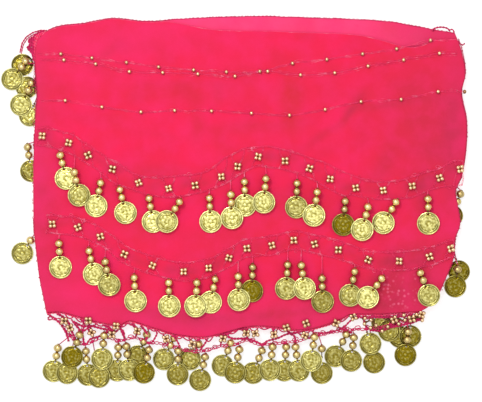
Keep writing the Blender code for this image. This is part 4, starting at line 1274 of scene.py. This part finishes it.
def metal_surface(name, bright, worn, dark, smooth_at, rough_at):
    """Gold-coloured metal that is darker in its hollows and where its plating has aged. On beads the same two
    values also carry painted shade, darker towards their sides.
    """
    look = Surface(name, Metallic=1.0)
    # On beads the relief and patina values are set by height on the bead, which paints shade on their sides.
    relief = look.attribute("relief")
    tone = look.blend(look.spread(relief, 0.05, 0.75), paint(*worn), paint(*bright))
    tone = look.blend(look.spread(look.noise(300.0, 3.0), 0.4, 0.7, 0.0, 0.3), tone, paint(*worn))
    hollow = look.spread(relief, 0.35, 0.85, 1.0, 0.82)
    tone = look.blend(look.product(look.attribute("patina"), hollow), tone, paint(*dark))
    look.set(Base_Color=tone, Roughness=look.spread(look.noise(700.0, 2.0), 0.3, 0.7, smooth_at, rough_at))
    look.bump(look.noise(1600.0, 2.0), 0.00008, 0.5)
    return look.material


def thread_surface(name, base, shade, rough):
    """Twisted thread: flecks of a second colour along its ply. On the pink thread these pale flecks are
    painted highlights; on the other threads they are darker flecks.
    """
    look = Surface(name, Sheen_Weight=0.2, Sheen_Roughness=0.4, Specular_IOR_Level=0.3)
    ply = look.wave(900.0, "DIAGONAL", 4.0)
    fleck_and_glint = look.spread(look.noise(190.0, 3.0), 0.52, 0.66, 0.0, 0.72)
    share = look.product(look.spread(ply, 0.1, 0.9, 0.4, 1.0), fleck_and_glint)
    look.set(
        Base_Color=look.blend(share, paint(*base), paint(*shade)),
        Roughness=look.spread(ply, 0.0, 1.0, rough - 0.08, rough + 0.08),
    )
    look.bump(ply, 0.0001, 0.6)
    return look.material


def floor_surface():
    look = Surface("pale_floor", Roughness=0.9, Specular_IOR_Level=0.1)
    look.set(Emission_Color=(1.0, 1.0, 1.0, 1.0), Emission_Strength=0.72)
    pale = look.spread(look.noise(3.0, 2.0), 0.3, 0.7)
    look.set(Base_Color=look.blend(pale, (0.36, 0.36, 0.36, 1.0), (0.38, 0.38, 0.38, 1.0)))
    return look.material


def floor():
    half = FLOOR_HALF / MM
    corners = [Vector((x * half, y * half, -0.02)) for x, y in ((-1, -1), (1, -1), (1, 1), (-1, 1))]
    shape = Shape()
    shape.add(corners, [(0, 1, 2, 3)])
    shape.make("floor", ["floor"])


def sky():
    """Soft studio light: bright overhead and darker towards the horizon."""
    world = bpy.data.worlds.new("studio")
    bpy.context.scene.world = world
    world.use_nodes = True
    tree = world.node_tree
    place = tree.nodes.new("ShaderNodeTexCoord").outputs["Generated"]
    parts = tree.nodes.new("ShaderNodeSeparateXYZ")
    tree.links.new(place, parts.inputs[0])
    ramp = tree.nodes.new("ShaderNodeValToRGB")
    ramp.color_ramp.interpolation = "EASE"
    stops = SKY_STOPS[1:]
    while len(ramp.color_ramp.elements) < len(stops):
        ramp.color_ramp.elements.new(0.5)
    for element, (place_at, level) in zip(ramp.color_ramp.elements, stops):
        element.position = place_at
        element.color = (level, level, level, 1.0)
    tree.links.new(parts.outputs["Z"], ramp.inputs[0])
    background = tree.nodes["Background"]
    tree.links.new(ramp.outputs["Color"], background.inputs["Color"])
    background.inputs["Strength"].default_value = SKY_STRENGTH


def softbox(name, place, size, power):
    data = bpy.data.lights.new(name, "AREA")
    data.shape = "DISK"
    data.size = size
    data.energy = power
    lamp = bpy.data.objects.new(name, data)
    lamp.location = place
    lamp.rotation_euler = (-Vector(place)).to_track_quat("-Z", "Y").to_euler()
    lamp.visible_camera = False
    bpy.context.scene.collection.objects.link(lamp)


def camera():
    data = bpy.data.cameras.new("camera")
    data.lens = LENS
    data.sensor_width = SENSOR
    data.clip_start = 0.1
    data.clip_end = 60.0
    distance = FRAME_WIDTH_PX * PIXEL * LENS / SENSOR
    obj = bpy.data.objects.new("camera", data)
    obj.location = (CAMERA_X * MM, CAMERA_Y * MM, (distance + CLOTH_LEVEL) * MM)
    bpy.context.scene.collection.objects.link(obj)
    bpy.context.scene.camera = obj


camera()
MATERIALS = {
    "chiffon": chiffon_surface("front_chiffon", (233, 33, 79)),
    "band": chiffon_surface("back_chiffon", (246, 68, 122)),
    "hidden": chiffon_surface("folded_chiffon", (222, 44, 96)),
    "coin": metal_surface("coin_gold", (255, 250, 168), (142, 130, 40), (114, 98, 8), 0.24, 0.4),
    "bead": metal_surface("bead_gold", (255, 232, 160), (224, 190, 112), (112, 82, 34), 0.2, 0.36),
    "seed": metal_surface("seed_gold", (255, 224, 180), (240, 186, 134), (140, 92, 48), 0.28, 0.42),
    # Pink thread: its pale flecks are painted highlights.
    "thread": thread_surface("pink_thread", (242, 54, 106), (255, 150, 182), 0.75),
    "net": thread_surface("net_thread", (200, 22, 88), (150, 10, 66), 0.7),
    "knot": thread_surface("dark_knot", (110, 74, 26), (66, 42, 16), 0.8),
    "floor": floor_surface(),
}
front = front_cloth()
back = back_cloth()
for number, leaf in enumerate(rows(HIDDEN_LEAVES)):
    hidden_cloth(number + 1, leaf)
upper_chains = (UPPER_TOP_CHAIN, 0.0), (UPPER_LOW_CHAIN, 0.0)
lower_chains = (LOWER_FLOWERS, ROW_HALF_HEIGHT), (LOWER_FLOWERS, -ROW_HALF_HEIGHT)
trim = coin_row("upper_coin_row", UPPER_FLOWERS, *upper_chains, UPPER_DANGLES)
trim += coin_row("lower_coin_row", LOWER_FLOWERS, *lower_chains, LOWER_DANGLES)
trim += fringe()
for side_group in rows(SIDE_GROUPS):
    side_dangles(side_group)
trim += bead_lines()
edges = edge_threads()
floor()
sky()
softbox("key", (-0.4, 0.7, 1.5), 0.5, 10.0)
bpy.context.scene.view_settings.view_transform = "Standard"
